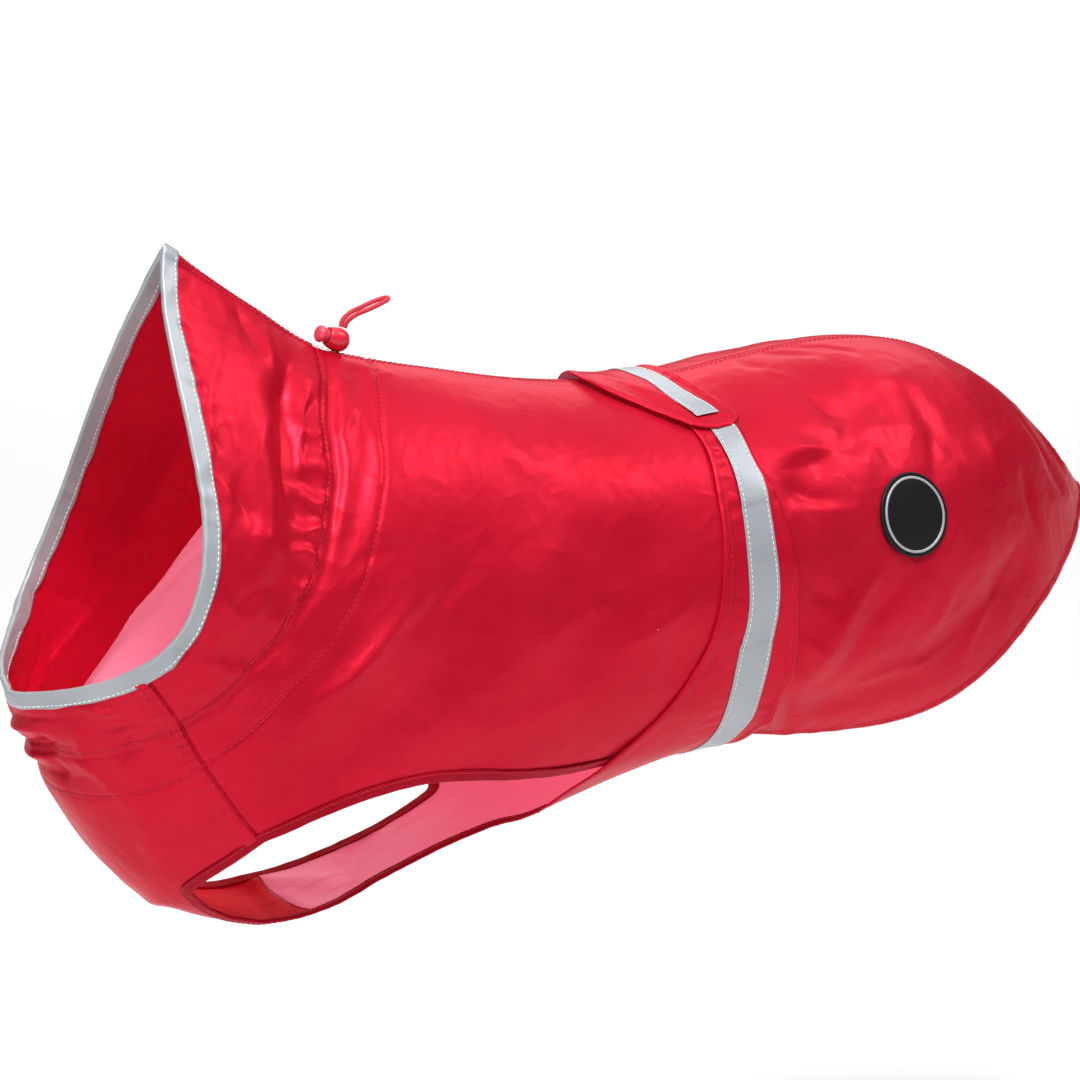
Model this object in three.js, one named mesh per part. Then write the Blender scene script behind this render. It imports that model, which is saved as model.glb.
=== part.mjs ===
// A dog's raincoat, filled out as if worn. Millimetres, +Z up, +X towards the tail.
// The wearer's left side is -Y. The origin is on the centre back at the withers, where the coat is carried.
//
// Every panel lies on one form, a tube of rings. A place on the form is given by "back", the distance in
// millimetres behind the nape along the centre back, and "around", the degrees from the centre back:
// positive down the left side, negative down the right, 180 along the belly.

import * as THREE from 'three';

// A table written as rows under named columns
const table = (columns, rows) => rows.map((row) => (
  Object.fromEntries(columns.map((column, i) => [column, row[i]]))
));

// Cloth and layers, as heights above the form
const CLOTH = 1.2;
const SEAM_GAP = 0.3;
const LINING = { inner: -1.6, outer: -0.5 };
const BELT = { lift: 2.0, thick: 1.0 };
const TAPE = { gap: 0.3, thick: 1.0, halfWidth: 6.6 };
const STRAP_LIFT = 4.6;
// Where the strap climbs over the belt's left end, in degrees around, and where the strip between the
// forelegs drops under the panels, in millimetres behind the nape
const STRAP_CLIMB = { from: 338, to: 358 };
const STRIP_DROP = { from: 244, to: 282 };

// Edges that are folded over
const COLLAR_BINDING_WIDTH = 7.5;
const COLLAR_BINDING_GAP = 0.35;
const LEG_BINDING_WIDTH = 5.0;
const LEG_BINDING_GAP = 1.05;
const BINDING_THICK = 1.0;

// Badge and cord lock
const BADGE = { back: 428, around: 74, radius: 23.6, thick: 2.0, sectors: 28 };
const BADGE_RING = { radius: 20.4, half: 0.8, rise: 0.6, flank: 0.4 };
const LOCK = { x: -72, tilt: 22, radius: 6.4, length: 13, bore: 4.1, boreDepth: 9.5, travel: 3 };
const PLUNGER = { stem: 3.8, stemLength: 5, cap: 4.6, capLength: 3.2 };
const CORD = { radius: 1.25, sides: 8, steps: 36 };
const LATHE_SIDES = 20;

// The rings of the form: where each meets the centre back (top) and the belly line (low), its half width,
// how fast it drops from the top (sink), how far it bows towards the tail, and how round its upper (crown)
// and lower (keel) halves are
const RINGS = table(['back', 'topX', 'topZ', 'lowX', 'lowZ', 'half', 'sink', 'bow', 'crown', 'keel'], [
  [0, -168, 81, -263, -141, 91, 0.535, 36, 1.35, 1.5],
  [60, -120, 46, -256, -160, 90, 0.66, 33, 1.2, 1.15],
  [107, -81, 20, -245, -181, 89, 0.78, 28, 1.1, 0.95],
  [138, -51, 11, -233, -206, 94, 0.86, 22, 1.05, 0.85],
  [190, 0, 0, -188, -262, 101, 0.95, 8, 1.0, 0.8],
  [240, 50, -10, -116, -281, 106, 1.0, 0, 1.0, 0.8],
  [290, 98, -15, 5, -248, 108, 1.0, 0, 1.0, 0.8],
  [340, 148, -14, 118, -225, 109, 1.0, 4, 1.0, 0.78],
  [390, 198, -8, 186, -227, 110, 1.0, 4, 1.0, 0.68],
  [440, 248, -5, 246, -233, 108, 1.0, 2, 1.0, 0.6],
  [500, 308, -12, 310, -236, 98, 1.0, 0, 1.0, 0.58],
  [560, 360, -38, 358, -226, 79, 1.0, 0, 1.0, 0.6],
  [610, 402, -72, 394, -208, 55, 1.0, 0, 1.0, 0.62],
  [655, 436, -107, 426, -190, 28, 1.0, 0, 1.0, 0.65],
]);

// Seam between the side of the back panel and the chest, from the collar to the leg opening
const CHEST_SEAM = table(['back', 'around'], [
  [0, 117.5], [72, 119.8], [128, 125], [180, 129.8],
]);

// Lower edge of a back panel behind that seam: the leg opening, the stretch under the belt, the tail hem
const SIDE_HEM = table(['back', 'around'], [
  [180, 129.8], [190, 121.5], [200, 116.5], [214, 112.3], [234, 110.5], [254, 114.2], [271, 121],
  [286, 128], [304, 133.5], [324, 139], [345, 145.5], [375, 152], [410, 152], [446, 146], [470, 137],
  [500, 125], [543, 109], [579, 95.6], [602, 84], [622, 69], [640, 50], [655, 26],
]);

// Front edge of the leg opening, where the chest ends beside the strip between the forelegs
const CHEST_END = table(['around', 'back'], [
  [117, 178.5], [129.8, 180], [140, 179.5], [150, 180.5], [160, 184], [180, 188],
]);

// Half width of the strip that runs between the forelegs, in millimetres
const STRIP = table(['back', 'half'], [
  [0, 50], [182, 50], [192, 44], [203, 40.5], [222, 38], [244, 36], [256, 32], [268, 29], [280, 30],
  [291, 36],
]);

// Front and rear edges of the belt, from the end on the left under the strap, down under the belly, and up
// over the right side to the strap's end: around runs on past 180 to 397
const BELT_FRONT = table(['around', 'back'], [
  [4, 285], [14, 298], [23, 306.5], [38, 315], [58, 317], [76, 318.5], [94, 318.5], [109, 315.5],
  [123, 308], [132, 300], [142, 294.5], [156, 291.5], [180, 291], [204, 291.5], [218, 294.5],
  [228, 300], [237, 308], [251, 315.5], [266, 318.5], [284, 318.5], [302, 315], [320, 305], [337, 290.5],
  [350, 276.5], [361, 269.5], [367, 269.5], [373, 274], [383.5, 292], [392, 308], [395.5, 316.5],
  [397, 325],
]);
const BELT_REAR = table(['around', 'back'], [
  [4, 328], [35, 337.5], [52, 340.5], [62, 345], [76, 349.5], [92, 353], [107, 356], [127, 359.5],
  [155, 361], [180, 362], [205, 361], [233, 359.5], [253, 356], [268, 353], [284, 349.5], [298, 345],
  [325, 336], [348, 328.5], [360, 326.5], [370, 328], [382, 333], [391.5, 339], [395.5, 338.5],
  [397, 333],
]);

// Centre line of the reflective tape on the belt
const TAPE_LINE = table(['around', 'back'], [
  [12, 321], [35, 328.5], [50, 332.5], [63, 333.5], [76, 334.5], [90, 336.5], [104, 337], [120, 339.5],
  [136, 343.5], [160, 346], [180, 347], [200, 346], [224, 343.5], [240, 339.5], [256, 337], [270, 336.5],
  [284, 334.5], [297, 333.5], [310, 331.5], [325, 326], [340, 318.5], [360, 311], [372, 313],
  [382, 316], [392, 323.5],
]);

// The two stitched lines of the drawstring channel round the neck
const CHANNEL_FRONT = table(['around', 'back'], [
  [0, 104], [30, 105], [50, 112], [70, 114], [85, 105], [100, 91], [120, 84], [150, 86], [180, 87],
]);
const CHANNEL_REAR = table(['around', 'back'], [
  [0, 136], [30, 137], [50, 143], [70, 146], [85, 142], [100, 132], [120, 127], [150, 126], [180, 125],
]);

// Gathers along the channel: "share" is the place from the centre back (0) to the chest seam (1)
const GATHERS = table(['share', 'half', 'rise'], [
  [0.14, 5.0, 0.8], [0.23, 5.0, 1.2], [0.31, 4.5, 1.6], [0.38, 4.0, 2.0], [0.44, 3.4, 2.4],
  [0.492, 3.0, 2.4], [0.54, 3.0, 2.2], [0.59, 3.2, 1.9], [0.65, 3.6, 1.6], [0.72, 4.0, 1.2],
  [0.82, 4.6, 0.9],
]);
const GATHER_REACH = 10;
const REAR_GATHER_SCALE = 0.4;

// The largest soft folds: ridges (rise above 0) and troughs from one place on the form to another
const FOLDS = table(['back', 'around', 'toBack', 'toAround', 'half', 'rise'], [
  [84, 30, 94, 54, 13, -3.2], [60, 46, 72, 78, 15, 2.4],
  [126, 14, 131, 62, 8, -2.0], [62, 96, 112, 88, 11, -2.6],
  [152, 106, 176, 76, 13, 3.0], [168, 112, 214, 84, 18, -2.6],
  [250, 106, 286, 70, 20, -2.8], [366, 116, 470, 88, 16, 3.0],
  [392, 134, 520, 92, 15, -3.2], [362, 60, 424, 38, 12, -2.8],
  [470, 66, 560, 48, 17, 2.4], [80, -26, 96, -58, 13, -3.0],
  [52, -52, 70, -84, 14, 2.2], [148, -100, 180, -72, 14, 2.8],
  [172, -114, 222, -86, 17, -2.6], [246, -104, 290, -74, 19, -2.6],
  [370, -120, 462, -84, 17, 2.8], [398, -130, 508, -98, 15, -3.0],
  [366, -54, 432, -32, 13, -2.6], [478, -62, 556, -50, 16, 2.2],
]);
// Millimetres around the form for each degree, near enough for the width of a fold
const MM_PER_DEGREE = 1.75;
// Makes the highest point of the bow equal to its number in the table
const BOW_SCALE = 6.75;
// Share of the belt's width kept clear on each side of the tape where the belt is narrow
const TAPE_MARGIN = 0.08;

// Stations along the back at which the panels are meshed, and the shares across each panel
const NECK_ROWS = [0, 8, 26, 46, 64, 78];
const CHANNEL_ROWS = [86, 93, 100, 107, 114, 121, 129, 138, 147];
const SEAM_END = 180;
const SHOULDER_ROWS = [160, SEAM_END];
const BODY_ROWS = [
  188, 200, 215, 234, 254, 276, 297, 320, 345, 372, 400, 428, 455, 482, 510, 538, 564, 588, 608, 625, 640,
  651,
];
const COARSE_COLUMNS = 18;
const CHEST_SIDE_COLUMNS = 4;
const STRIP_COLUMNS = 8;
const CHEST_STRIP_ROWS = [193, 203, 216, 230, 244];
const BELLY_STRIP_ROWS = [244.3, 256, 268, 280];
const BELT_COLUMNS = { left: 26, right: 38 };

const rad = THREE.MathUtils.degToRad;

// Colours by eye
const red = (roughness) => new THREE.MeshStandardMaterial({ color: '#c4162f', roughness, metalness: 0 });
const silver = () => new THREE.MeshStandardMaterial({ color: '#b9bcc0', roughness: 0.45, metalness: 0.1 });
const rubber = () => new THREE.MeshStandardMaterial({ color: '#17181a', roughness: 0.6, metalness: 0 });
const plastic = () => new THREE.MeshStandardMaterial({ color: '#c8192f', roughness: 0.4, metalness: 0 });

// Smooth reading of one column of a table: a cubic through its rows, straight on past its ends
function read(rows, key, at, out) {
  const last = rows.length - 1;
  const step = (i) => rows[i + 1][key] - rows[i][key];
  const slope = (i) => {
    const i0 = Math.min(Math.max(i, 0), last);
    if (i0 === 0) return (rows[1][out] - rows[0][out]) / step(0);
    if (i0 === last) return (rows[last][out] - rows[last - 1][out]) / step(last - 1);
    const before = (rows[i0][out] - rows[i0 - 1][out]) / step(i0 - 1);
    const after = (rows[i0 + 1][out] - rows[i0][out]) / step(i0);
    return (before * step(i0) + after * step(i0 - 1)) / (step(i0 - 1) + step(i0));
  };
  if (at <= rows[0][key]) return rows[0][out] + slope(0) * (at - rows[0][key]);
  if (at >= rows[last][key]) return rows[last][out] + slope(last) * (at - rows[last][key]);
  let i = 0;
  while (at > rows[i + 1][key]) i += 1;
  const h = step(i);
  const u = (at - rows[i][key]) / h;
  const u2 = u * u;
  const u3 = u2 * u;
  return (2 * u3 - 3 * u2 + 1) * rows[i][out] + (u3 - 2 * u2 + u) * slope(i) * h
    + (3 * u2 - 2 * u3) * rows[i + 1][out] + (u3 - u2) * slope(i + 1) * h;
}

// A point on the bare form
function formPoint(back, around) {
  const ring = (name) => read(RINGS, 'back', back, name);
  const angle = rad(around);
  const sine = Math.sin(angle);
  const upper = Math.cos(angle) > 0;
  const drop = Math.pow((1 - Math.cos(angle)) / 2, ring('sink'));
  const acrossX = ring('lowX') - ring('topX');
  const acrossZ = ring('lowZ') - ring('topZ');
  const chord = Math.hypot(acrossX, acrossZ);
  const bow = ring('bow') * BOW_SCALE * drop * drop * (1 - drop);
  const side = Math.sign(sine) * Math.pow(Math.abs(sine), upper ? ring('crown') : ring('keel'));
  return new THREE.Vector3(
    ring('topX') + acrossX * drop - (acrossZ / chord) * bow,
    -ring('half') * side,
    ring('topZ') + acrossZ * drop + (acrossX / chord) * bow,
  );
}

// Direction out of the form; beside the centre seam it is that of the centre back itself
function outOfForm(back, around) {
  const turned = THREE.MathUtils.euclideanModulo(around + 180, 360) - 180;
  const at = Math.abs(turned) < 1 ? 0 : turned;
  const alongBack = formPoint(back + 1, at).sub(formPoint(back - 1, at));
  const alongAround = formPoint(back, at + 0.6).sub(formPoint(back, at - 0.6));
  return alongAround.cross(alongBack).normalize();
}

// Height of the soft folds at a place on the form
function foldHeight(back, around) {
  let height = 0;
  for (const fold of FOLDS) {
    const turned = THREE.MathUtils.euclideanModulo(around - fold.around + 180, 360) - 180;
    const runX = fold.toBack - fold.back;
    const runY = (fold.toAround - fold.around) * MM_PER_DEGREE;
    const x = back - fold.back;
    const y = turned * MM_PER_DEGREE;
    const along = THREE.MathUtils.clamp((x * runX + y * runY) / (runX * runX + runY * runY), 0, 1);
    const away = Math.hypot(x - along * runX, y - along * runY) / fold.half;
    height += fold.rise * Math.exp(-away * away);
  }
  return height;
}

// Height of the gathers along the drawstring channel, never under the form
function gatherHeight(back, around, edge) {
  const turned = Math.abs(THREE.MathUtils.euclideanModulo(around + 180, 360) - 180);
  const fromFront = (back - read(CHANNEL_FRONT, 'around', turned, 'back') + GATHER_REACH / 2) / GATHER_REACH;
  const fromRear = (back - read(CHANNEL_REAR, 'around', turned, 'back') + GATHER_REACH / 2) / GATHER_REACH;
  const reach = Math.exp(-fromFront * fromFront) + REAR_GATHER_SCALE * Math.exp(-fromRear * fromRear);
  let height = 0;
  for (const gather of GATHERS) {
    const away = ((turned - gather.share * edge) * MM_PER_DEGREE) / gather.half;
    height += gather.rise * Math.exp(-away * away);
  }
  return height * reach;
}

// A point of the cloth, "out" millimetres above the form
function clothPoint(back, around, out) {
  return formPoint(back, around).addScaledVector(outOfForm(back, around), out + foldHeight(back, around));
}

// The angle at which a ring's upper or lower half has the given half width
function aroundAt(back, halfWidth, lower) {
  const power = read(RINGS, 'back', back, lower ? 'keel' : 'crown');
  const sine = Math.pow(halfWidth / read(RINGS, 'back', back, 'half'), 1 / power);
  const angle = THREE.MathUtils.radToDeg(Math.asin(sine));
  return lower ? 180 - angle : angle;
}

// Degrees that make the given distance around the form
function degreesFor(back, around, distance) {
  return distance / (formPoint(back, around + 0.5).distanceTo(formPoint(back, around - 0.5)));
}

// A mesh from points and triangles, its faces turned out
function closedGeometry(points, triangles) {
  let volume = 0;
  for (const [a, b, c] of triangles) volume += points[a].dot(points[b].clone().cross(points[c]));
  const faces = volume > 0 ? triangles : triangles.map(([a, b, c]) => [a, c, b]);
  const geometry = new THREE.BufferGeometry();
  geometry.setAttribute('position', new THREE.Float32BufferAttribute(points.flatMap((p) => p.toArray()), 3));
  geometry.setIndex(faces.flat());
  geometry.computeVertexNormals();
  return geometry;
}

// Triangles between two rows of stations that may differ in number, matched by their order along the row
function zip(rowA, rowB) {
  const triangles = [];
  let a = 0;
  let b = 0;
  while (a < rowA.length - 1 || b < rowB.length - 1) {
    const nextA = a < rowA.length - 1 ? rowA[a + 1].order : Infinity;
    const nextB = b < rowB.length - 1 ? rowB[b + 1].order : Infinity;
    if (nextA <= nextB) {
      triangles.push([rowA[a], rowA[a + 1], rowB[b]]);
      a += 1;
    } else {
      triangles.push([rowA[a], rowB[b + 1], rowB[b]]);
      b += 1;
    }
  }
  return triangles;
}

// A wall of cloth over strips, each a pair of rows of stations { back, around, inner, outer, order }, marked
// as mirrored where it runs the other way. Both faces are made from the same stations, and the open edges
// are closed by a band between them.
function clothWall(strips) {
  const number = new Map();
  const points = [];
  const idOf = (station) => {
    if (!number.has(station)) {
      number.set(station, points.length);
      points.push(clothPoint(station.back, station.around, station.outer));
      points.push(clothPoint(station.back, station.around, station.inner));
    }
    return number.get(station);
  };
  const triangles = [];
  const edges = new Map();
  for (const { rowA, rowB, mirrored } of strips) {
    for (const stations of zip(rowA, rowB)) {
      const [a, b, c] = (mirrored ? stations.reverse() : stations).map(idOf);
      triangles.push([a, b, c], [a + 1, c + 1, b + 1]);
      for (const [from, to] of [[a, b], [b, c], [c, a]]) {
        if (!edges.delete(`${to},${from}`)) edges.set(`${from},${to}`, [from, to]);
      }
    }
  }
  for (const [from, to] of edges.values()) {
    triangles.push([to, from, from + 1], [to, from + 1, to + 1]);
  }
  return closedGeometry(points, triangles);
}

const pairs = (rows) => rows.slice(1).map((row, i) => ({ rowA: rows[i], rowB: row, mirrored: false }));

const evenShares = (count) => Array.from({ length: count + 1 }, (_, i) => i / count);

// Shares across a back panel near the channel: one at each gather and one between each pair
function gatherShares() {
  const crests = GATHERS.map((gather) => gather.share);
  const between = crests.slice(1).map((share, i) => (share + crests[i]) / 2);
  const ends = [0, 0.05, 0.09, 0.87, 0.92, 0.96, 1];
  return [...crests, ...between, ...ends].sort((a, b) => a - b);
}

// Lower edge of a back panel at a row
function sideEdge(back) {
  return back <= SEAM_END ? read(CHEST_SEAM, 'back', back, 'around') : read(SIDE_HEM, 'back', back, 'around');
}

// Angle across a back panel at a share of its width, from the centre seam to its lower edge
function panelAngle(back, share) {
  const first = aroundAt(back, SEAM_GAP / 2, false);
  const edge = sideEdge(back);
  const seamed = back <= SEAM_END ? degreesFor(back, edge, SEAM_GAP / 2) : 0;
  return first + (edge - seamed - first) * share;
}

// The left or right back panel, from the collar to the tail and from the centre seam to the side edge
function backPanel(sign) {
  const row = (back, shares, gathered) => shares.map((share) => {
    const around = sign * panelAngle(back, share);
    const rise = gathered ? gatherHeight(back, around, sideEdge(back)) : 0;
    return { back, around, inner: rise, outer: CLOTH + rise, order: share };
  });
  const coarse = evenShares(COARSE_COLUMNS);
  const rows = [
    ...NECK_ROWS.map((back) => row(back, coarse, false)),
    ...CHANNEL_ROWS.map((back) => row(back, gatherShares(), true)),
    ...[...SHOULDER_ROWS, ...BODY_ROWS].map((back) => row(back, coarse, false)),
  ];
  return clothWall(pairs(rows));
}

// Angles across the chest at a row: out from the left seam, across the strip, and on to the right seam
function chestAngles(back, gap) {
  const stripHalf = read(STRIP, 'back', back, 'half');
  const seam = read(CHEST_SEAM, 'back', Math.min(back, SEAM_END), 'around');
  const edge = seam + degreesFor(back, seam, gap);
  const stripEdge = aroundAt(back, stripHalf, true);
  const side = evenShares(CHEST_SIDE_COLUMNS).slice(0, -1).map((share) => edge + (stripEdge - edge) * share);
  const strip = stripAngles(back, stripHalf);
  return [...side, ...strip, ...side.map((angle) => 360 - angle).reverse()];
}

// Angles across the strip at a row, evenly spaced in width
function stripAngles(back, half) {
  return evenShares(STRIP_COLUMNS).map((share) => {
    const offset = half * Math.abs(1 - 2 * share);
    const angle = offset < 0.01 ? 180 : aroundAt(back, offset, true);
    return share <= 0.5 ? angle : 360 - angle;
  });
}

const stationRow = (places, inner, outer) => places.map(({ back, around }, order) => (
  { back, around, inner: inner(back, around), outer: outer(back, around), order }
));

// The chest: one piece from seam to seam, running on as the strip between the forelegs
function chestRows() {
  const flat = () => 0;
  const thick = () => CLOTH;
  const bandRows = [...NECK_ROWS, ...CHANNEL_ROWS, SHOULDER_ROWS[0]].map((back) => (
    stationRow(chestAngles(back, SEAM_GAP / 2).map((around) => ({ back, around })), flat, thick)
  ));
  const endAngles = chestAngles(SEAM_END + 5, SEAM_GAP / 2);
  const endRow = stationRow(endAngles.map((around) => (
    { back: read(CHEST_END, 'around', around > 180 ? 360 - around : around, 'back'), around }
  )), flat, thick);
  const stripRows = CHEST_STRIP_ROWS.map((back) => stationRow(
    stripAngles(back, read(STRIP, 'back', back, 'half')).map((around) => ({ back, around })), flat, thick,
  ));
  const shared = endRow.slice(CHEST_SIDE_COLUMNS, CHEST_SIDE_COLUMNS + STRIP_COLUMNS + 1);
  return { bandRows, endRow, shared, stripRows };
}

function chest() {
  const { bandRows, endRow, shared, stripRows } = chestRows();
  const band = clothStrips([...bandRows, endRow]);
  return clothWall([...band, ...clothStrips([shared, ...stripRows])]);
}

// Strips between rows of equal length, each station matched with the one beside it. Those on the right
// side mirror those on the left, so that layers there lie facet on facet too.
function clothStrips(rows) {
  return pairs(rows).flatMap(({ rowA, rowB }) => rowA.slice(0, -1).map((station, i) => {
    const mirrored = station.around > 179.9 && station.around < 359.9;
    const cell = (row) => (mirrored ? [row[i + 1], row[i]] : [row[i], row[i + 1]]);
    return { rowA: cell(rowA), rowB: cell(rowB), mirrored };
  }));
}

// Angles all round the neck, at the places of the panels there
function neckAngles(back) {
  const left = evenShares(COARSE_COLUMNS).slice(1, -1).map((share) => panelAngle(back, share));
  return [0, ...left, ...chestAngles(back, 0), ...left.map((angle) => 360 - angle).reverse()];
}

// Red lining inside the neck, from the collar to the rear channel line
function neckLining() {
  const rows = [2, ...NECK_ROWS.slice(1), ...CHANNEL_ROWS.slice(0, -1)].map((back) => {
    const places = neckAngles(back).map((around) => ({ back, around }));
    const row = stationRow(places, () => LINING.inner, () => LINING.outer);
    return [...row, row[0]];
  });
  return clothWall(clothStrips(rows));
}

// Where the belt lies above the form: close to it on the strip, over the back panels on the sides, and
// over its own left end where the strap crosses the back
function beltLift(around) {
  const ramp = THREE.MathUtils.smoothstep(around, STRAP_CLIMB.from, STRAP_CLIMB.to);
  return BELT.lift + (STRAP_LIFT - BELT.lift) * ramp;
}

// Front (-1) or rear (1) edge of the tape, kept within the belt
function tapeEdge(around, side) {
  const front = read(BELT_FRONT, 'around', around, 'back');
  const rear = read(BELT_REAR, 'around', around, 'back');
  const margin = TAPE_MARGIN * (rear - front);
  const edge = read(TAPE_LINE, 'around', around, 'back') + side * TAPE.halfWidth;
  return THREE.MathUtils.clamp(edge, front + margin, rear - margin);
}

// Angles along the belt from its left end to the strap's end, with those of the strip in the middle
function beltAngles() {
  const front = BELT_FRONT[0].around;
  const strap = BELT_FRONT[BELT_FRONT.length - 1].around;
  const strip = stripAngles(291, read(STRIP, 'back', 291, 'half'));
  const left = evenShares(BELT_COLUMNS.left).slice(0, -1).map((share) => front + (strip[0] - front) * share);
  const start = strip[STRIP_COLUMNS];
  const right = evenShares(BELT_COLUMNS.right).slice(1).map((share) => start + (strap - 5 - start) * share);
  return [...left, ...strip, ...right, strap - 3, strap - 1.2, strap];
}

// The belly piece: the strip between the forelegs and the belt that it widens into
function beltRows() {
  const lift = (_, around) => beltLift(around);
  const top = (_, around) => beltLift(around) + BELT.thick;
  const lines = [
    (around) => read(BELT_FRONT, 'around', around, 'back'), (around) => tapeEdge(around, -1),
    (around) => tapeEdge(around, 1), (around) => read(BELT_REAR, 'around', around, 'back'),
  ];
  const bandRows = lines.map((line) => stationRow(
    beltAngles().map((around) => ({ back: line(around), around })), lift, top,
  ));
  const first = BELT_COLUMNS.left;
  const shared = bandRows[0].slice(first, first + STRIP_COLUMNS + 1);
  const stripLift = (back) => BELT.lift * THREE.MathUtils.smoothstep(back, STRIP_DROP.from, STRIP_DROP.to);
  const stripRows = BELLY_STRIP_ROWS.map((back) => stationRow(
    stripAngles(back, read(STRIP, 'back', back, 'half')).map((around) => ({ back, around })),
    stripLift, (at) => stripLift(at) + CLOTH,
  ));
  return { bandRows, shared, stripRows };
}

function bellyBelt() {
  const { bandRows, shared, stripRows } = beltRows();
  return clothWall([...clothStrips([...stripRows, shared]), ...clothStrips(bandRows)]);
}

// Reflective tape, made from the belt's places and moved out
function beltTape() {
  const first = TAPE_LINE[0].around;
  const last = TAPE_LINE[TAPE_LINE.length - 1].around;
  const angles = beltAngles().filter((around) => around > first + 1 && around < last - 1);
  const places = [first, ...angles, last];
  const base = (_, around) => beltLift(around) + BELT.thick + TAPE.gap;
  const rows = [-1, 1].map((side) => stationRow(
    places.map((around) => ({ back: tapeEdge(around, side), around })),
    base, (back, around) => base(back, around) + TAPE.thick,
  ));
  return clothWall(clothStrips(rows));
}

// Outline of a strip folded over a cloth edge: x runs into the cloth from its edge, y out of the form
function foldedOutline(width, low, high, g) {
  const t = BINDING_THICK;
  return [
    [width, high + g], [width, high + g + t], [-g, high + g + t], [-g - t, high + g], [-g - t, low - g],
    [-g, low - g - t], [width, low - g - t], [width, low - g], [-g, low - g], [-g, high + g],
  ].map(([x, y]) => new THREE.Vector2(x, y));
}

// A closed body through equal outlines, as a ring or with both ends capped
function throughOutlines(outlines, caps) {
  const size = outlines[0].length;
  const points = outlines.flat();
  const triangles = [];
  const joins = caps ? outlines.length - 1 : outlines.length;
  for (let i = 0; i < joins; i += 1) {
    const next = (i + 1) % outlines.length;
    for (let j = 0; j < size; j += 1) {
      const a = i * size + j;
      const b = i * size + ((j + 1) % size);
      const c = next * size + ((j + 1) % size);
      const d = next * size + j;
      triangles.push([a, b, c], [a, c, d]);
    }
  }
  if (caps) {
    const end = (outlines.length - 1) * size;
    for (const [a, b, c] of caps) triangles.push([a, c, b], [end + a, end + b, end + c]);
  }
  return closedGeometry(points, triangles);
}

// Reflective binding folded over the collar, both layers inside it
function collarBinding() {
  const outline = foldedOutline(COLLAR_BINDING_WIDTH, LINING.inner, CLOTH, COLLAR_BINDING_GAP);
  const at = (around) => outline.map(({ x, y }) => clothPoint(x, around, y));
  return throughOutlines(neckAngles(0).map(at), null);
}

// Stations along the edge of a leg opening, from the belt along the side hem, down the end of the chest and
// back along the strip between the forelegs, each with the place beside it in the cloth
function legEdge() {
  const inset = 1 / COARSE_COLUMNS;
  const side = (back) => ({
    edge: { back, around: panelAngle(back, 1), lift: 0 },
    beside: { back, around: panelAngle(back, 1 - inset), lift: 0 },
  });
  const { bandRows, endRow, stripRows } = chestRows();
  const above = bandRows[bandRows.length - 1];
  const chestEnd = endRow.slice(1, CHEST_SIDE_COLUMNS + 1).map(({ back, around }, i) => {
    const { back: besideBack, around: besideAround } = above[i + 1 < CHEST_SIDE_COLUMNS ? i + 1 : i + 2];
    return { edge: { back, around, lift: 0 }, beside: { back: besideBack, around: besideAround, lift: 0 } };
  });
  const strip = [...stripRows, ...beltRows().stripRows.slice(1)].map(([outer, inner]) => ({
    edge: { back: outer.back, around: outer.around, lift: outer.inner },
    beside: { back: inner.back, around: inner.around, lift: inner.inner },
  }));
  const hem = BODY_ROWS.filter((back) => back < 298).reverse();
  return [...[...hem, SEAM_END].map(side), ...chestEnd, ...strip];
}

// Binding round a leg opening
function legBinding(sign) {
  const stations = legEdge();
  const pointOf = ({ back, around, lift }) => clothPoint(back, sign * around, lift);
  const edge = stations.map((station) => pointOf(station.edge));
  const outline = foldedOutline(LEG_BINDING_WIDTH, 0, CLOTH, LEG_BINDING_GAP);
  const outlines = edge.map((point, i) => {
    const along = edge[Math.min(i + 1, edge.length - 1)].clone().sub(edge[Math.max(i - 1, 0)]).normalize();
    const inward = pointOf(stations[i].beside).sub(point);
    inward.addScaledVector(along, -inward.dot(along)).normalize();
    const out = along.clone().cross(inward).multiplyScalar(-sign);
    return outline.map(({ x, y }) => point.clone().addScaledVector(inward, x).addScaledVector(out, y));
  });
  return throughOutlines(outlines, THREE.ShapeUtils.triangulateShape(outline, []));
}

// The place on the form that lies u behind and v below a centre, measured along the form
function nearPlace(centre, u, v) {
  const { back, around } = centre;
  const mmBack = formPoint(back + 0.5, around).distanceTo(formPoint(back - 0.5, around));
  return { back: back + u / mmBack, around: around + degreesFor(back, around, v) };
}

// Round rubber badge that follows the cloth, with one raised ring
function badge() {
  const under = CLOTH + SEAM_GAP;
  const { radius: middleOfRing, half, rise: ringRise, flank } = BADGE_RING;
  const profile = table(['radius', 'rise'], [
    [BADGE.radius * 0.32, 0], [BADGE.radius * 0.64, 0], [middleOfRing - half - flank, 0],
    [middleOfRing - half, ringRise], [middleOfRing + half, ringRise], [middleOfRing + half + flank, 0],
    [BADGE.radius, 0],
  ]);
  const station = (radius, turn, rise) => {
    const place = nearPlace(BADGE, radius * Math.cos(turn), radius * Math.sin(turn));
    return { ...place, inner: under, outer: under + BADGE.thick + rise, order: 0 };
  };
  const centre = station(0, 0, 0);
  const rings = profile.map(({ radius, rise }) => {
    const turns = Array.from({ length: BADGE.sectors }, (_, i) => (2 * Math.PI * i) / BADGE.sectors);
    const ring = turns.map((turn) => station(radius, turn, rise));
    return [...ring, ring[0]];
  });
  const middle = rings[0].slice(1).map((_, i) => (
    { rowA: [centre], rowB: [rings[0][i], rings[0][i + 1]], mirrored: false }
  ));
  return clothWall([...middle, ...clothStrips(rings)]);
}

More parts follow.
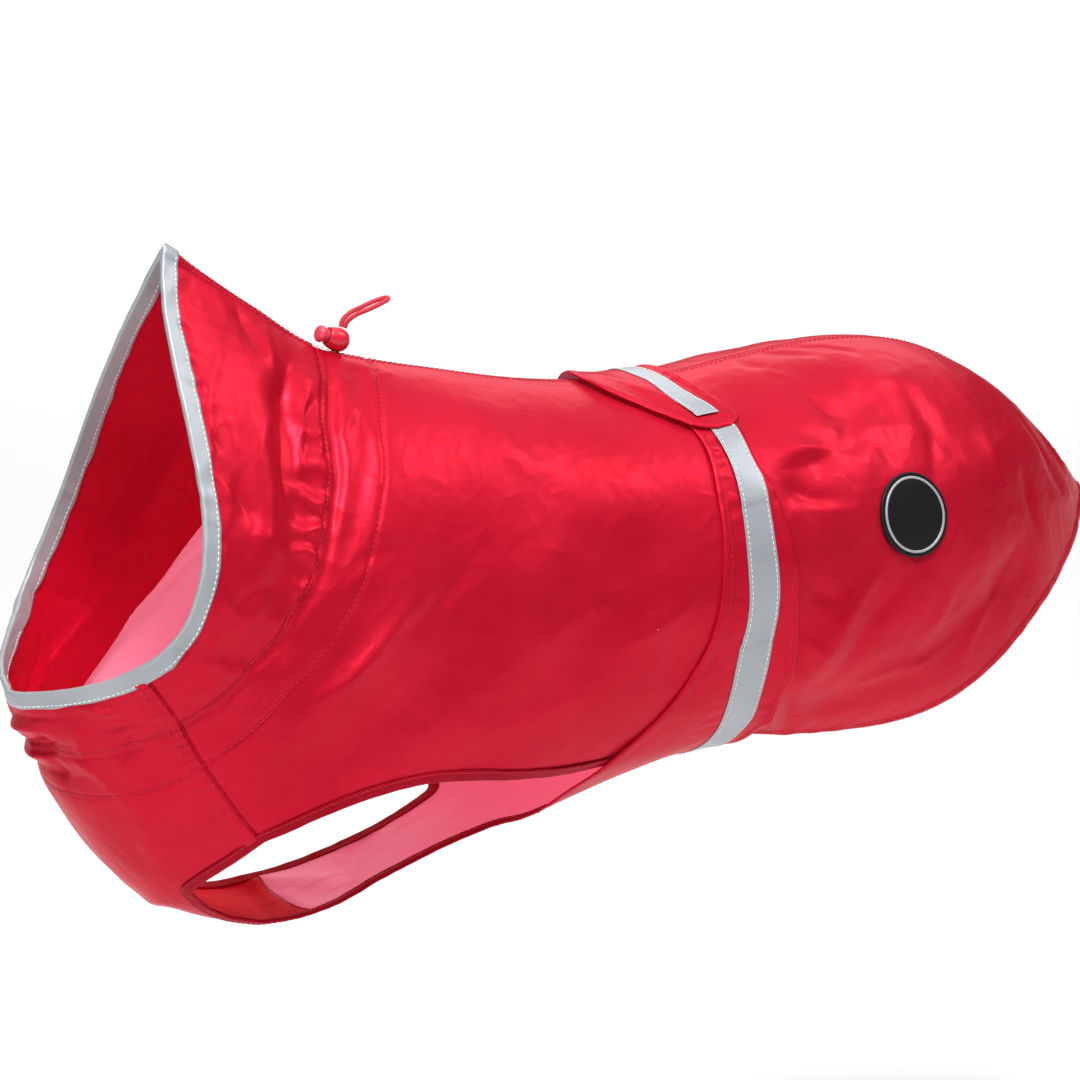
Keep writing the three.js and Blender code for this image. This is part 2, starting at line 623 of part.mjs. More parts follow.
// Frame of the cord lock: it sits on the cloth by the front channel line, its axis towards the nape
function lockFrame() {
  const back = read(RINGS, 'topX', LOCK.x, 'back');
  const seat = clothPoint(back, 0, CLOTH + SEAM_GAP);
  const axis = new THREE.Vector3(-Math.cos(rad(LOCK.tilt)), 0, Math.sin(rad(LOCK.tilt)));
  const up = new THREE.Vector3(Math.sin(rad(LOCK.tilt)), 0, Math.cos(rad(LOCK.tilt)));
  const centre = seat.clone().addScaledVector(up, LOCK.radius);
  return { axis, up, centre };
}

// A lathed piece of the lock, its profile given along the lock's axis from the barrel's centre
function lathedOnLock(profile) {
  const { axis, centre } = lockFrame();
  const outline = profile.map(([radius, along]) => new THREE.Vector2(radius, along));
  const geometry = new THREE.LatheGeometry(outline, LATHE_SIDES);
  geometry.applyQuaternion(new THREE.Quaternion().setFromUnitVectors(new THREE.Vector3(0, 1, 0), axis));
  geometry.translate(centre.x, centre.y, centre.z);
  return geometry;
}

// Barrel: a rounded cup, open towards the nape
function lockBarrel() {
  const half = LOCK.length / 2;
  const r = LOCK.radius;
  return lathedOnLock([
    [0, -half], [r * 0.5, -half + 0.7], [r * 0.84, -half + 2.4], [r, -1.6], [r, 1.6], [r * 0.9, half - 1.6],
    [r * 0.78, half], [LOCK.bore, half], [LOCK.bore, half - LOCK.boreDepth], [0, half - LOCK.boreDepth],
  ]);
}

// Plunger: a stem in the barrel's bore and a round cap outside it
function lockPlunger() {
  const rim = LOCK.length / 2 + LOCK.travel + 0.3;
  return lathedOnLock([
    [0, rim - LOCK.travel - PLUNGER.stemLength], [PLUNGER.stem, rim - LOCK.travel - PLUNGER.stemLength],
    [PLUNGER.stem, rim], [PLUNGER.cap, rim], [PLUNGER.cap, rim + PLUNGER.capLength - 1.4],
    [PLUNGER.cap * 0.7, rim + PLUNGER.capLength - 0.3], [0, rim + PLUNGER.capLength],
  ]);
}

// Elastic cord: both strands leave the top of the barrel and meet in a round end
const CORD_ROUTE = table(['behind', 'left', 'up'], [
  [1.0, 2.0, 0], [2.2, 2.6, 3.2], [7, 3.5, 6.6], [15, 4.2, 9.2], [23, 3.9, 11.8], [27.4, 2.3, 13.2],
  [28.4, 0, 13.6],
]);

function cordLoop() {
  const { up, centre } = lockFrame();
  const root = centre.clone().addScaledVector(up, LOCK.radius + SEAM_GAP);
  const place = (row, side) => new THREE.Vector3(root.x + row.behind, -side * row.left, root.z + row.up);
  const there = CORD_ROUTE.map((row) => place(row, 1));
  const home = CORD_ROUTE.slice(0, -1).reverse().map((row) => place(row, -1));
  const section = new THREE.Shape(Array.from({ length: CORD.sides }, (_, i) => {
    const turn = (2 * Math.PI * i) / CORD.sides;
    return new THREE.Vector2(CORD.radius * Math.cos(turn), CORD.radius * Math.sin(turn));
  }));
  return new THREE.ExtrudeGeometry(section, {
    steps: CORD.steps, extrudePath: new THREE.CatmullRomCurve3([...there, ...home]), curveSegments: 1,
  });
}

function piece(name, geometry, material) {
  const mesh = new THREE.Mesh(geometry, material);
  mesh.name = name;
  return mesh;
}

const coat = new THREE.Group();
const shell = new THREE.Group();
shell.add(
  piece('back_left', backPanel(1), red(0.42)),
  piece('back_right', backPanel(-1), red(0.42)),
  piece('chest', chest(), red(0.42)),
  piece('neck_lining', neckLining(), red(0.55)),
  piece('belly_belt', bellyBelt(), red(0.42)),
);
const trims = new THREE.Group();
trims.add(
  piece('collar_binding', collarBinding(), silver()),
  piece('leg_binding_left', legBinding(1), red(0.45)),
  piece('leg_binding_right', legBinding(-1), red(0.45)),
  piece('belt_tape', beltTape(), silver()),
  piece('badge', badge(), rubber()),
);
const lock = new THREE.Group();
lock.add(
  piece('cord_lock_barrel', lockBarrel(), plastic()),
  piece('cord_lock_plunger', lockPlunger(), plastic()),
  piece('cord_loop', cordLoop(), red(0.7)),
);
coat.add(shell, trims, lock);

export default coat;
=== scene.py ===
"""A dog's raincoat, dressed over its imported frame: cloth, hems, stitching, bindings, badge and cord lock."""

import logging
import math
from dataclasses import dataclass
from enum import Enum
from functools import lru_cache
from typing import Callable, Sequence

import bmesh
import bpy
import numpy as np
from mathutils import Matrix, Vector


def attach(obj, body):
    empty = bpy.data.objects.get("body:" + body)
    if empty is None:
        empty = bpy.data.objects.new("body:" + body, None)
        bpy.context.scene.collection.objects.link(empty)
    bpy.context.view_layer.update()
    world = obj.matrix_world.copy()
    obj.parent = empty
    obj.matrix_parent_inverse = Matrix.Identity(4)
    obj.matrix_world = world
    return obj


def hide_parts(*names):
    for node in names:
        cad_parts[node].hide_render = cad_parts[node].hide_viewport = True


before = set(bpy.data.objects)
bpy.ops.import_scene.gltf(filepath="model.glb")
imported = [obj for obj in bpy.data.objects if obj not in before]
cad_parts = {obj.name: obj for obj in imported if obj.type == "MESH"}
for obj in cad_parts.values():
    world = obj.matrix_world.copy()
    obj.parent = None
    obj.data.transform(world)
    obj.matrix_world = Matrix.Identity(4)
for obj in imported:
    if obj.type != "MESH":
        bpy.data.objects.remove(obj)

log = logging.getLogger("raincoat")

MM = 0.001
MM_PER_DEGREE = 1.75
COAT = "coat"
PLUNGER = "lock_plunger"
SEAM_END = 180.0

# Rings of the form: back, top x, top z, low x, low z, half width, sink, bow, crown, keel (millimetres)
RINGS = np.array([
    [0, -168, 81, -263, -141, 91, 0.535, 36, 1.35, 1.5],
    [60, -120, 46, -256, -160, 90, 0.66, 33, 1.2, 1.15],
    [107, -81, 20, -245, -181, 89, 0.78, 28, 1.1, 0.95],
    [138, -51, 11, -233, -206, 94, 0.86, 22, 1.05, 0.85],
    [190, 0, 0, -188, -262, 101, 0.95, 8, 1.0, 0.8],
    [240, 50, -10, -116, -281, 106, 1.0, 0, 1.0, 0.8],
    [290, 98, -15, 5, -248, 108, 1.0, 0, 1.0, 0.8],
    [340, 148, -14, 118, -225, 109, 1.0, 4, 1.0, 0.78],
    [390, 198, -8, 186, -227, 110, 1.0, 4, 1.0, 0.68],
    [440, 248, -5, 246, -233, 108, 1.0, 2, 1.0, 0.6],
    [500, 308, -12, 310, -236, 98, 1.0, 0, 1.0, 0.58],
    [560, 360, -38, 358, -226, 79, 1.0, 0, 1.0, 0.6],
    [610, 402, -72, 394, -208, 55, 1.0, 0, 1.0, 0.62],
    [655, 436, -107, 426, -190, 28, 1.0, 0, 1.0, 0.65],
])

# Lower edges of a back panel, as rows of back and around
CHEST_SEAM = np.array([[0, 117.5], [72, 119.8], [128, 125], [180, 129.8]])
SIDE_HEM = np.array([
    [180, 129.8], [190, 121.5], [200, 116.5], [214, 112.3], [234, 110.5], [254, 114.2], [271, 121],
    [286, 128], [304, 133.5], [324, 139], [345, 145.5], [375, 152], [410, 152], [446, 146], [470, 137],
    [500, 125], [543, 109], [579, 95.6], [602, 84], [622, 69], [640, 50], [655, 26],
])
# Rear edge of the chest, as rows of around and back, and half width of the strip between the forelegs
CHEST_END = np.array([[117, 178.5], [129.8, 180], [140, 179.5], [150, 180.5], [160, 184], [180, 188]])
STRIP = np.array([
    [0, 50], [182, 50], [192, 44], [203, 40.5], [222, 38], [244, 36], [256, 32], [268, 29],
    [280, 30], [291, 36],
])
# Belt edges and tape line, as rows of around and back
BELT_FRONT = np.array([
    [4, 285], [14, 298], [23, 306.5], [38, 315], [58, 317], [76, 318.5], [94, 318.5], [109, 315.5],
    [123, 308], [132, 300], [142, 294.5], [156, 291.5], [180, 291], [204, 291.5], [218, 294.5],
    [228, 300], [237, 308], [251, 315.5], [266, 318.5], [284, 318.5], [302, 315], [320, 305],
    [337, 290.5], [350, 276.5], [361, 269.5], [367, 269.5], [373, 274], [383.5, 292], [392, 308],
    [395.5, 316.5], [397, 325],
])
BELT_REAR = np.array([
    [4, 328], [35, 337.5], [52, 340.5], [62, 345], [76, 349.5], [92, 353], [107, 356], [127, 359.5],
    [155, 361], [180, 362], [205, 361], [233, 359.5], [253, 356], [268, 353], [284, 349.5],
    [298, 345], [325, 336], [348, 328.5], [360, 326.5], [370, 328], [382, 333], [391.5, 339],
    [395.5, 338.5], [397, 333],
])
TAPE_LINE = np.array([
    [12, 321], [35, 328.5], [50, 332.5], [63, 333.5], [76, 334.5], [90, 336.5], [104, 337],
    [120, 339.5], [136, 343.5], [160, 346], [180, 347], [200, 346], [224, 343.5], [240, 339.5],
    [256, 337], [270, 336.5], [284, 334.5], [297, 333.5], [310, 331.5], [325, 326], [340, 318.5],
    [360, 311], [372, 313], [382, 316], [392, 323.5],
])
# Stitched lines of the drawstring channel, as rows of around and back
CHANNEL_FRONT = np.array([
    [0, 104], [30, 105], [50, 112], [70, 114], [85, 105], [100, 91], [120, 84], [150, 86], [180, 87],
])
CHANNEL_REAR = np.array([
    [0, 136], [30, 137], [50, 143], [70, 146], [85, 142], [100, 132], [120, 127], [150, 126],
    [180, 125],
])
# Gathers along the channel: share of the way from the centre back to the chest seam, half width, rise
GATHERS = np.array([
    [0.16, 6.0, 0.7], [0.29, 6.0, 1.1], [0.37, 5.0, 1.9], [0.435, 3.6, 2.6], [0.49, 3.4, 2.9],
    [0.545, 3.4, 2.6], [0.60, 4.0, 1.9], [0.69, 5.0, 1.1], [0.82, 5.5, 0.7],
])
# Largest soft folds: back, around, to back, to around, half width, rise
FOLDS = np.array([
    [84, 30, 94, 54, 13, -3.2], [60, 46, 72, 78, 15, 2.4], [126, 14, 131, 62, 8, -2.0],
    [62, 96, 112, 88, 11, -2.6], [152, 106, 176, 76, 13, 3.0], [168, 112, 214, 84, 18, -2.6],
    [250, 106, 286, 70, 20, -2.8], [366, 116, 470, 88, 16, 3.0], [392, 134, 520, 92, 15, -3.2],
    [362, 60, 424, 38, 12, -2.8], [470, 66, 560, 48, 17, 2.4], [80, -26, 96, -58, 13, -3.0],
    [52, -52, 70, -84, 14, 2.2], [148, -100, 180, -72, 14, 2.8], [172, -114, 222, -86, 17, -2.6],
    [246, -104, 290, -74, 19, -2.6], [370, -120, 462, -84, 17, 2.8], [398, -130, 508, -98, 15, -3.0],
    [366, -54, 432, -32, 13, -2.6], [478, -62, 556, -50, 16, 2.2],
])
# Finer creases on the left side: back, around, to back, to around, half width, rise, bend
CREASES = np.array([
    [85, 16, 79, 48, 7, -1.5, 3], [97, 22, 92, 50, 4.5, 1.2, 2], [17, 43, 27, 46, 2.4, -0.8, 1],
    [12, 32, 20, 35, 2.2, -0.7, -1], [7, 18, 14, 21, 2.2, -0.7, 1], [24, 55, 33, 57, 2.4, 0.7, 1],
    [16, 68, 27, 70, 2.4, -0.6, -1], [20, 80, 60, 84, 4, 0.8, 4], [37, 103, 84, 100, 6, 0.9, -3],
    [12, 111, 28, 104, 3, 0.9, 1], [143, 100, 176, 76, 6, 1.3, 5], [40, 86, 104, 74, 9, -1.4, -6],
    [49, 5, 64, 18, 5, -0.9, 2], [67, 6, 75, 24, 6, 0.9, 2], [32, 52, 62, 61, 6, -1.0, 3],
    [48, 65, 92, 68, 7, 1.1, -3], [158, 97, 182, 72, 5, 0.9, -4], [166, 84, 204, 62, 12, -1.3, 4],
    [193, 28, 238, 44, 12, 0.9, 5], [241, 55, 279, 78, 12, -0.9, -5], [225, 96, 284, 101, 10, 0.9, 6],
    [248, 84, 290, 76, 9, 0.8, -5], [284, 92, 308, 84, 6, 1.5, 2], [313, 112, 300, 92, 7, -1.7, 3],
    [372, 5, 384, 15, 4.0, -0.8, 2], [390, 5, 421, 16, 4.2, -1.0, -3], [408, 5, 447, 18, 4.2, -0.9, -4],
    [392, 29, 406, 43, 6, -1.1, 3], [406, 42, 386, 51, 7, 1.0, 3], [352, 50, 398, 55, 7, 1.6, -5],
    [352, 57, 380, 66, 5, -1.3, 4], [360, 66, 402, 70, 5, 0.8, 3], [420, 50, 424, 61, 5, -0.9, 2],
    [407, 86, 368, 119, 7, 2.0, 5], [421, 92, 384, 122, 7, -1.7, 6], [454, 95, 431, 111, 6, 1.5, -3],
    [464, 76, 442, 92, 7, 1.1, 3], [455, 31, 471, 62, 10, -1.1, 6], [498, 48, 511, 74, 9, 1.0, 5],
    [528, 60, 544, 86, 8, -1.1, 4], [498, 100, 470, 121, 7, 1.2, 4], [400, 128, 448, 120, 6, 1.2, -4],
    [82, 21, 85, 40, 4, -0.9, 1], [104, 25, 90, 36, 4, -0.9, 1], [78, 42, 84, 54, 4, -0.8, 1],
    [134, 67, 159, 62, 6, -0.9, 2], [349, 54, 422, 48, 5, -0.8, 3], [434, 37, 428, 57, 4, -0.8, 1],
    [456, 50, 448, 68, 4, -0.9, 1], [473, 101, 436, 114, 5, 0.9, 3], [355, 128, 372, 148, 4, 1.5, 2],
    [362, 124, 384, 148, 4, -1.4, 2], [430, 30, 470, 26, 9, 0.8, 4],
    [560, 30, 588, 66, 9, -1.1, 5], [590, 24, 618, 50, 7, 0.9, 3], [358, 88, 380, 96, 5, -0.9, 2],
    [354, 104, 378, 112, 4, 1.0, 2], [520, 84, 486, 108, 8, -1.2, 5], [212, 66, 250, 58, 16, 0.8, 8],
])
# Creases of the chest and the strip, on both sides of the belly line
CHEST_CREASES = np.array([
    [20, 143, 46, 131, 5, 1.4, 2], [56, 166, 126, 170, 6, -1.8, 4], [48, 150, 100, 158, 6, 1.3, -4],
    [59, 142, 64, 127, 3, -0.9, 1], [96, 136, 118, 150, 5, 1.0, 2], [132, 140, 168, 158, 8, 1.4, 4],
    [30, 188, 110, 196, 6, -1.5, 5], [70, 214, 120, 204, 6, 1.3, 3], [16, 206, 60, 222, 6, 1.1, 4],
    [186, 165, 204, 196, 5, 1.6, 3], [206, 196, 228, 160, 4.5, -1.4, 4], [222, 160, 240, 190, 4, 1.5, -3],
    [36, 150, 50, 205, 9, -1.3, 4], [74, 152, 86, 208, 9, -1.9, -4], [56, 160, 66, 200, 9, 1.5, 3],
    [112, 156, 118, 204, 7, -1.8, 3], [98, 166, 102, 196, 7, 1.5, 2], [62, 132, 110, 140, 4, -1.4, 3],
    [90, 160, 140, 150, 5, 1.6, -4], [236, 198, 262, 168, 5, -1.3, 3], [250, 164, 276, 192, 4, 1.2, 3],
    [146, 200, 172, 214, 8, 1.2, 4],
])


def read_table(rows: np.ndarray, at: np.ndarray) -> np.ndarray:
    """Read every column of a table smoothly, straight on past its ends.

    Args:
        rows: table whose first column is the key, in rising order.
        at: places at which to read it, of any shape.

    Returns:
        An array of the shape of ``at`` with one more axis for the table's other columns.
    """
    key, values = rows[:, 0], rows[:, 1:]
    places = np.asarray(at, dtype=float)
    flat = places.ravel()
    gap = np.diff(key)
    steps = np.diff(values, axis=0) / gap[:, None]
    slope = np.empty_like(values)
    slope[0], slope[-1] = steps[0], steps[-1]
    near, far = gap[:-1, None], gap[1:, None]
    slope[1:-1] = (steps[:-1] * far + steps[1:] * near) / (near + far)
    inside = np.clip(flat, key[0], key[-1])
    i = np.clip(np.searchsorted(key, inside, side="right") - 1, 0, len(key) - 2)
    h = gap[i][:, None]
    u = ((inside - key[i]) / gap[i])[:, None]
    curve = (
        (2 * u**3 - 3 * u**2 + 1) * values[i]
        + (u**3 - 2 * u**2 + u) * h * slope[i]
        + (3 * u**2 - 2 * u**3) * values[i + 1]
        + (u**3 - u**2) * h * slope[i + 1]
    )
    beyond = (flat - inside)[:, None]
    curve += np.where(beyond < 0, slope[0], slope[-1]) * beyond
    return curve.reshape(places.shape + (values.shape[1],))


def read_line(rows: np.ndarray, at: np.ndarray) -> np.ndarray:
    """Read a table of two columns as a single curve."""
    return read_table(rows, at)[..., 0]


def smoothstep(value: np.ndarray, low: float, high: float) -> np.ndarray:
    """Rise from 0 at low to 1 at high, level at both ends."""
    t = np.clip((np.asarray(value, dtype=float) - low) / (high - low), 0.0, 1.0)
    return t * t * (3 - 2 * t)


def bump(away: np.ndarray) -> np.ndarray:
    """A soft ridge of height 1, for a distance in half widths."""
    return np.exp(-np.square(away))


def crisp(away: np.ndarray) -> np.ndarray:
    """A ridge of height 1 with a firm crest and long sides, for a distance in half widths."""
    return np.exp(-1.7 * (np.sqrt(np.square(away) + 0.07) - 0.265))


def turned(around: np.ndarray) -> np.ndarray:
    """Bring an angle round the form into the range from -180 to 180."""
    return np.mod(np.asarray(around, dtype=float) + 180.0, 360.0) - 180.0


def drift(back: np.ndarray, across: np.ndarray, size: float, seed: int) -> np.ndarray:
    """Smooth unevenness between about -1 and 1, the same on every run.

    Args:
        back: millimetres behind the nape.
        across: millimetres round the form.
        size: the usual length of one wave, in millimetres.
        seed: picks one of the patterns.

    Returns:
        The height at each place.
    """
    dice = np.random.default_rng(seed)
    value = np.zeros(np.broadcast(back, across).shape)
    waves = 9
    for _ in range(waves):
        angle, phase = dice.uniform(0, 2 * math.pi, 2)
        pace = 2 * math.pi / size * dice.uniform(0.6, 1.5)
        value = value + np.sin(pace * (back * math.cos(angle) + across * math.sin(angle)) + phase)
    return value / math.sqrt(waves)


class Form:
    """The tube of rings on which every panel of the coat lies."""

    @staticmethod
    def point(back: np.ndarray, around: np.ndarray) -> np.ndarray:
        """Find points on the bare form.

        Args:
            back: millimetres behind the nape.
            around: degrees from the centre back, positive down the left side.

        Returns:
            Points in millimetres, on a last axis of three.
        """
        back, around = np.broadcast_arrays(np.asarray(back, float), np.asarray(around, float))
        top_x, top_z, low_x, low_z, half, sink, bow, crown, keel = np.moveaxis(
            read_table(RINGS, back), -1, 0
        )
        angle = np.radians(around)
        sine = np.sin(angle)
        drop = np.clip((1 - np.cos(angle)) / 2, 0, 1) ** sink
        across_x, across_z = low_x - top_x, low_z - top_z
        chord = np.hypot(across_x, across_z)
        lean = bow * 6.75 * drop**2 * (1 - drop)
        power = np.where(np.cos(angle) > 0, crown, keel)
        side = np.sign(sine) * np.abs(sine) ** power
        return np.stack([
            top_x + across_x * drop - across_z / chord * lean,
            -half * side,
            top_z + across_z * drop + across_x / chord * lean,
        ], axis=-1)

    @classmethod
    def normal(cls, back: np.ndarray, around: np.ndarray) -> np.ndarray:
        """Direction out of the form; beside the centre seam it is that of the centre back."""
        back, around = np.broadcast_arrays(np.asarray(back, float), np.asarray(around, float))
        flat = turned(around)
        at = np.where(np.abs(flat) < 1, 0.0, flat)
        along_back = cls.point(back + 1, at) - cls.point(back - 1, at)
        along_around = cls.point(back, at + 0.6) - cls.point(back, at - 0.6)
        out = np.cross(along_around, along_back)
        return out / np.linalg.norm(out, axis=-1, keepdims=True)

    @staticmethod
    def angle_at(back: np.ndarray, half_width: np.ndarray) -> np.ndarray:
        """The angle on the lower half at which a ring has the given half width."""
        ring = read_table(RINGS, back)
        sine = np.clip(half_width / ring[..., 4], 0, 1) ** (1 / ring[..., 8])
        return 180.0 - np.degrees(np.arcsin(sine))


class Relief:
    """Heights of the cloth above the form: folds, creases, gathers and unevenness, in millimetres."""

    CREASE_SCALE = 1.9

    @staticmethod
    def ridges(back: np.ndarray, around: np.ndarray, rows: np.ndarray, tapered: bool) -> np.ndarray:
        """Add up the ridges and troughs of one table.

        Args:
            back: millimetres behind the nape.
            around: degrees from the centre back.
            rows: start, end, half width and rise of each ridge, and its bend where it has one.
            tapered: whether a ridge fades out at its ends.

        Returns:
            The height at each place.
        """
        height = np.zeros(np.broadcast(back, around).shape)
        for row in rows:
            run_x = row[2] - row[0]
            run_y = (row[3] - row[1]) * MM_PER_DEGREE
            reach = math.hypot(run_x, run_y)
            x = back - row[0]
            y = turned(around - row[1]) * MM_PER_DEGREE
            share = np.clip((x * run_x + y * run_y) / reach**2, 0, 1)
            bend = row[6] * np.sin(math.pi * share) if tapered else 0.0
            away_x = x - share * run_x - bend * -run_y / reach
            away_y = y - share * run_y - bend * run_x / reach
            fade = np.sin(math.pi * np.clip(share, 0.04, 0.96)) ** 0.8 if tapered else 1.0
            profile = crisp if tapered else bump
            height = height + row[5] * fade * profile(np.hypot(away_x, away_y) / row[4])
        return height

    @staticmethod
    @lru_cache(maxsize=1)
    def crease_rows() -> np.ndarray:
        """The listed creases, and like ones on the right side, each a little moved and turned."""
        dice = np.random.default_rng(41)
        other = CREASES.copy()
        count = len(other)
        other[:, [0, 2]] += dice.uniform(-9, 9, (count, 1)) + dice.uniform(-4, 4, (count, 2))
        other[:, [1, 3]] = -other[:, [1, 3]] + dice.uniform(-5, 5, (count, 1))
        other[:, 5] *= dice.uniform(0.75, 1.15, count)
        return np.vstack([CREASES, other, CHEST_CREASES])

    @classmethod
    def gathers(cls, back: np.ndarray, around: np.ndarray) -> np.ndarray:
        """Gathers that the drawstring makes beside the channel, never under the form."""
        flat = np.abs(turned(around))
        edge = read_line(CHEST_SEAM, np.minimum(back, SEAM_END))
        front = back - read_line(CHANNEL_FRONT, flat)
        rear = back - read_line(CHANNEL_REAR, flat)
        reach = 1.2 * bump((front + 4) / 11) * smoothstep(-front, -3, 3) + 0.3 * bump((front + 16) / 8)
        reach = reach + 0.10 * bump((front - 6) / 4)
        comb = np.zeros(np.broadcast(back, around).shape)
        for share, half, rise in GATHERS:
            sway = 2.2 * np.sin(front / 7.0 + share * 40)
            away = (flat - share * edge) * MM_PER_DEGREE + sway * smoothstep(-front, 0, 6)
            comb = comb + rise * (1.15 * bump(away / (0.8 * half)) - 0.25 * bump((away + 1.9 * half) / half))
        line = 0.24 * bump((front + 2) / 4.0) + 0.16 * bump(rear / 3.0)
        puckers = line * np.sin(around * MM_PER_DEGREE * 2 * math.pi / 5.2 + 1.7 * np.sin(around / 4.1))
        return comb * reach + puckers * (flat < 150)

    @staticmethod
    def stitch_dents(back: np.ndarray, around: np.ndarray) -> np.ndarray:
        """Narrow dents along the two stitched lines of the channel."""
        flat = np.abs(turned(around))
        front = back - read_line(CHANNEL_FRONT, flat)
        rear = back - read_line(CHANNEL_REAR, flat)
        trough = (1.0 + 2.4 * smoothstep(flat, 8, 26) * smoothstep(-flat, -72, -50)) * bump((front - 5.5) / 4)
        return -1.1 * bump(front / 1.7) - 0.7 * bump(rear / 1.5) - trough

    @classmethod
    def height(cls, back: np.ndarray, around: np.ndarray) -> np.ndarray:
        """Height of the folds, creases and unevenness that every layer shares."""
        height = cls.ridges(back, around, FOLDS, tapered=False)
        height = height + cls.CREASE_SCALE * cls.ridges(back, around, cls.crease_rows(), tapered=True)
        side = turned(around) * MM_PER_DEGREE
        calm = 0.3 + 0.7 * smoothstep(np.abs(side), 4, 34)
        return height + calm * (0.6 * drift(back, side, 80, 5) + cls.crumple(back, side))

    @staticmethod
    def crumple(back: np.ndarray, side: np.ndarray) -> np.ndarray:
        """Soft ridges in scattered patches, as worn coated cloth keeps them.

        Args:
            back: millimetres behind the nape.
            side: millimetres round the form from the centre back.

        Returns:
            The height at each place.
        """
        bent_back = back + 12 * drift(back, side, 95, 71)
        bent_side = side + 12 * drift(back, side, 95, 72)
        dice = np.random.default_rng(73)
        height = np.zeros(np.broadcast(back, side).shape)
        layers = ((74, 0.9), (58, 0.8), (47, 0.65), (38, 0.5), (30, 0.4), (24, 0.3))
        for layer, (size, rise) in enumerate(layers):
            angle, phase = dice.uniform(0, math.pi), dice.uniform(0, 2 * math.pi)
            way = bent_back * math.cos(angle) + bent_side * math.sin(angle)
            wave = np.sin(math.pi / size * way + phase)
            patch = smoothstep(drift(back, side, 60 + size, 80 + layer), 0.1, 1.2)
            height = height + rise * patch * crisp(wave / 0.3)
        taut = 0.35 + 0.65 * smoothstep(np.abs(back - 240), 50, 110)
        return height * taut


def cloth_points(back: np.ndarray, around: np.ndarray, out: np.ndarray) -> np.ndarray:
    """Points of the cloth, "out" millimetres above the form's relief, in metres."""
    height = out + Relief.height(back, around)
    return (Form.point(back, around) + Form.normal(back, around) * height[..., None]) * MM


def spread(anchors: Sequence[tuple[float, float]]) -> np.ndarray:
    """Stations from a list of (place, spacing up to it), the first one a bare start.

    Args:
        anchors: the start, and then the end of each stretch with its spacing.

    Returns:
        The stations in rising order.
    """
    stations = [np.array([anchors[0][0]])]
    for (start, _), (end, step) in zip(anchors, anchors[1:]):
        count = max(1, round((end - start) / step))
        stations.append(np.linspace(start, end, count + 1)[1:])
    return np.concatenate(stations)


def edge_distance(points: np.ndarray, line: np.ndarray, reach: float) -> np.ndarray:
    """Distance in millimetres from points to a line, no more than reach.

    Args:
        points: points in millimetres, on a last axis of three.
        line: points of the line, in millimetres.
        reach: the largest distance of interest.

    Returns:
        The distance at each point.
    """
    flat = points.reshape(-1, 3)
    start, run = line[:-1], np.diff(line, axis=0)
    length = np.maximum(np.einsum("ij,ij->i", run, run), 1e-9)
    best = np.full(len(flat), reach)
    for first in range(0, len(flat), 4000):
        block = flat[first:first + 4000, None, :] - start[None]
        share = np.clip(np.einsum("pij,ij->pi", block, run) / length, 0, 1)
        away = np.linalg.norm(block - share[..., None] * run[None], axis=-1).min(axis=1)
        best[first:first + 4000] = np.minimum(away, reach)
    return best.reshape(points.shape[:-1])


@dataclass
class Patch:
    """A grid of places on the form, with the height of the cloth's top and its thickness there."""

    back: np.ndarray
    around: np.ndarray
    top: np.ndarray
    thick: np.ndarray


class Hem:
    """Cross-section of a turned and stitched edge."""

    @staticmethod
    def rise(distance: np.ndarray, width: float, lift: float) -> np.ndarray:
        """Extra height of the cloth near an edge that is folded under and stitched down.

        Args:
            distance: millimetres from the edge.
            width: width of the fold.
            lift: thickness that the fold adds.

        Returns:
            The extra height.
        """
        plateau = lift * (1 - smoothstep(distance, width - 0.3, width + 0.7))
        rounded = -0.5 * lift * bump(distance / 0.8)
        stitched = -0.55 * lift * bump((distance - width + 1.1) / 0.7)
        return plateau + rounded + stitched


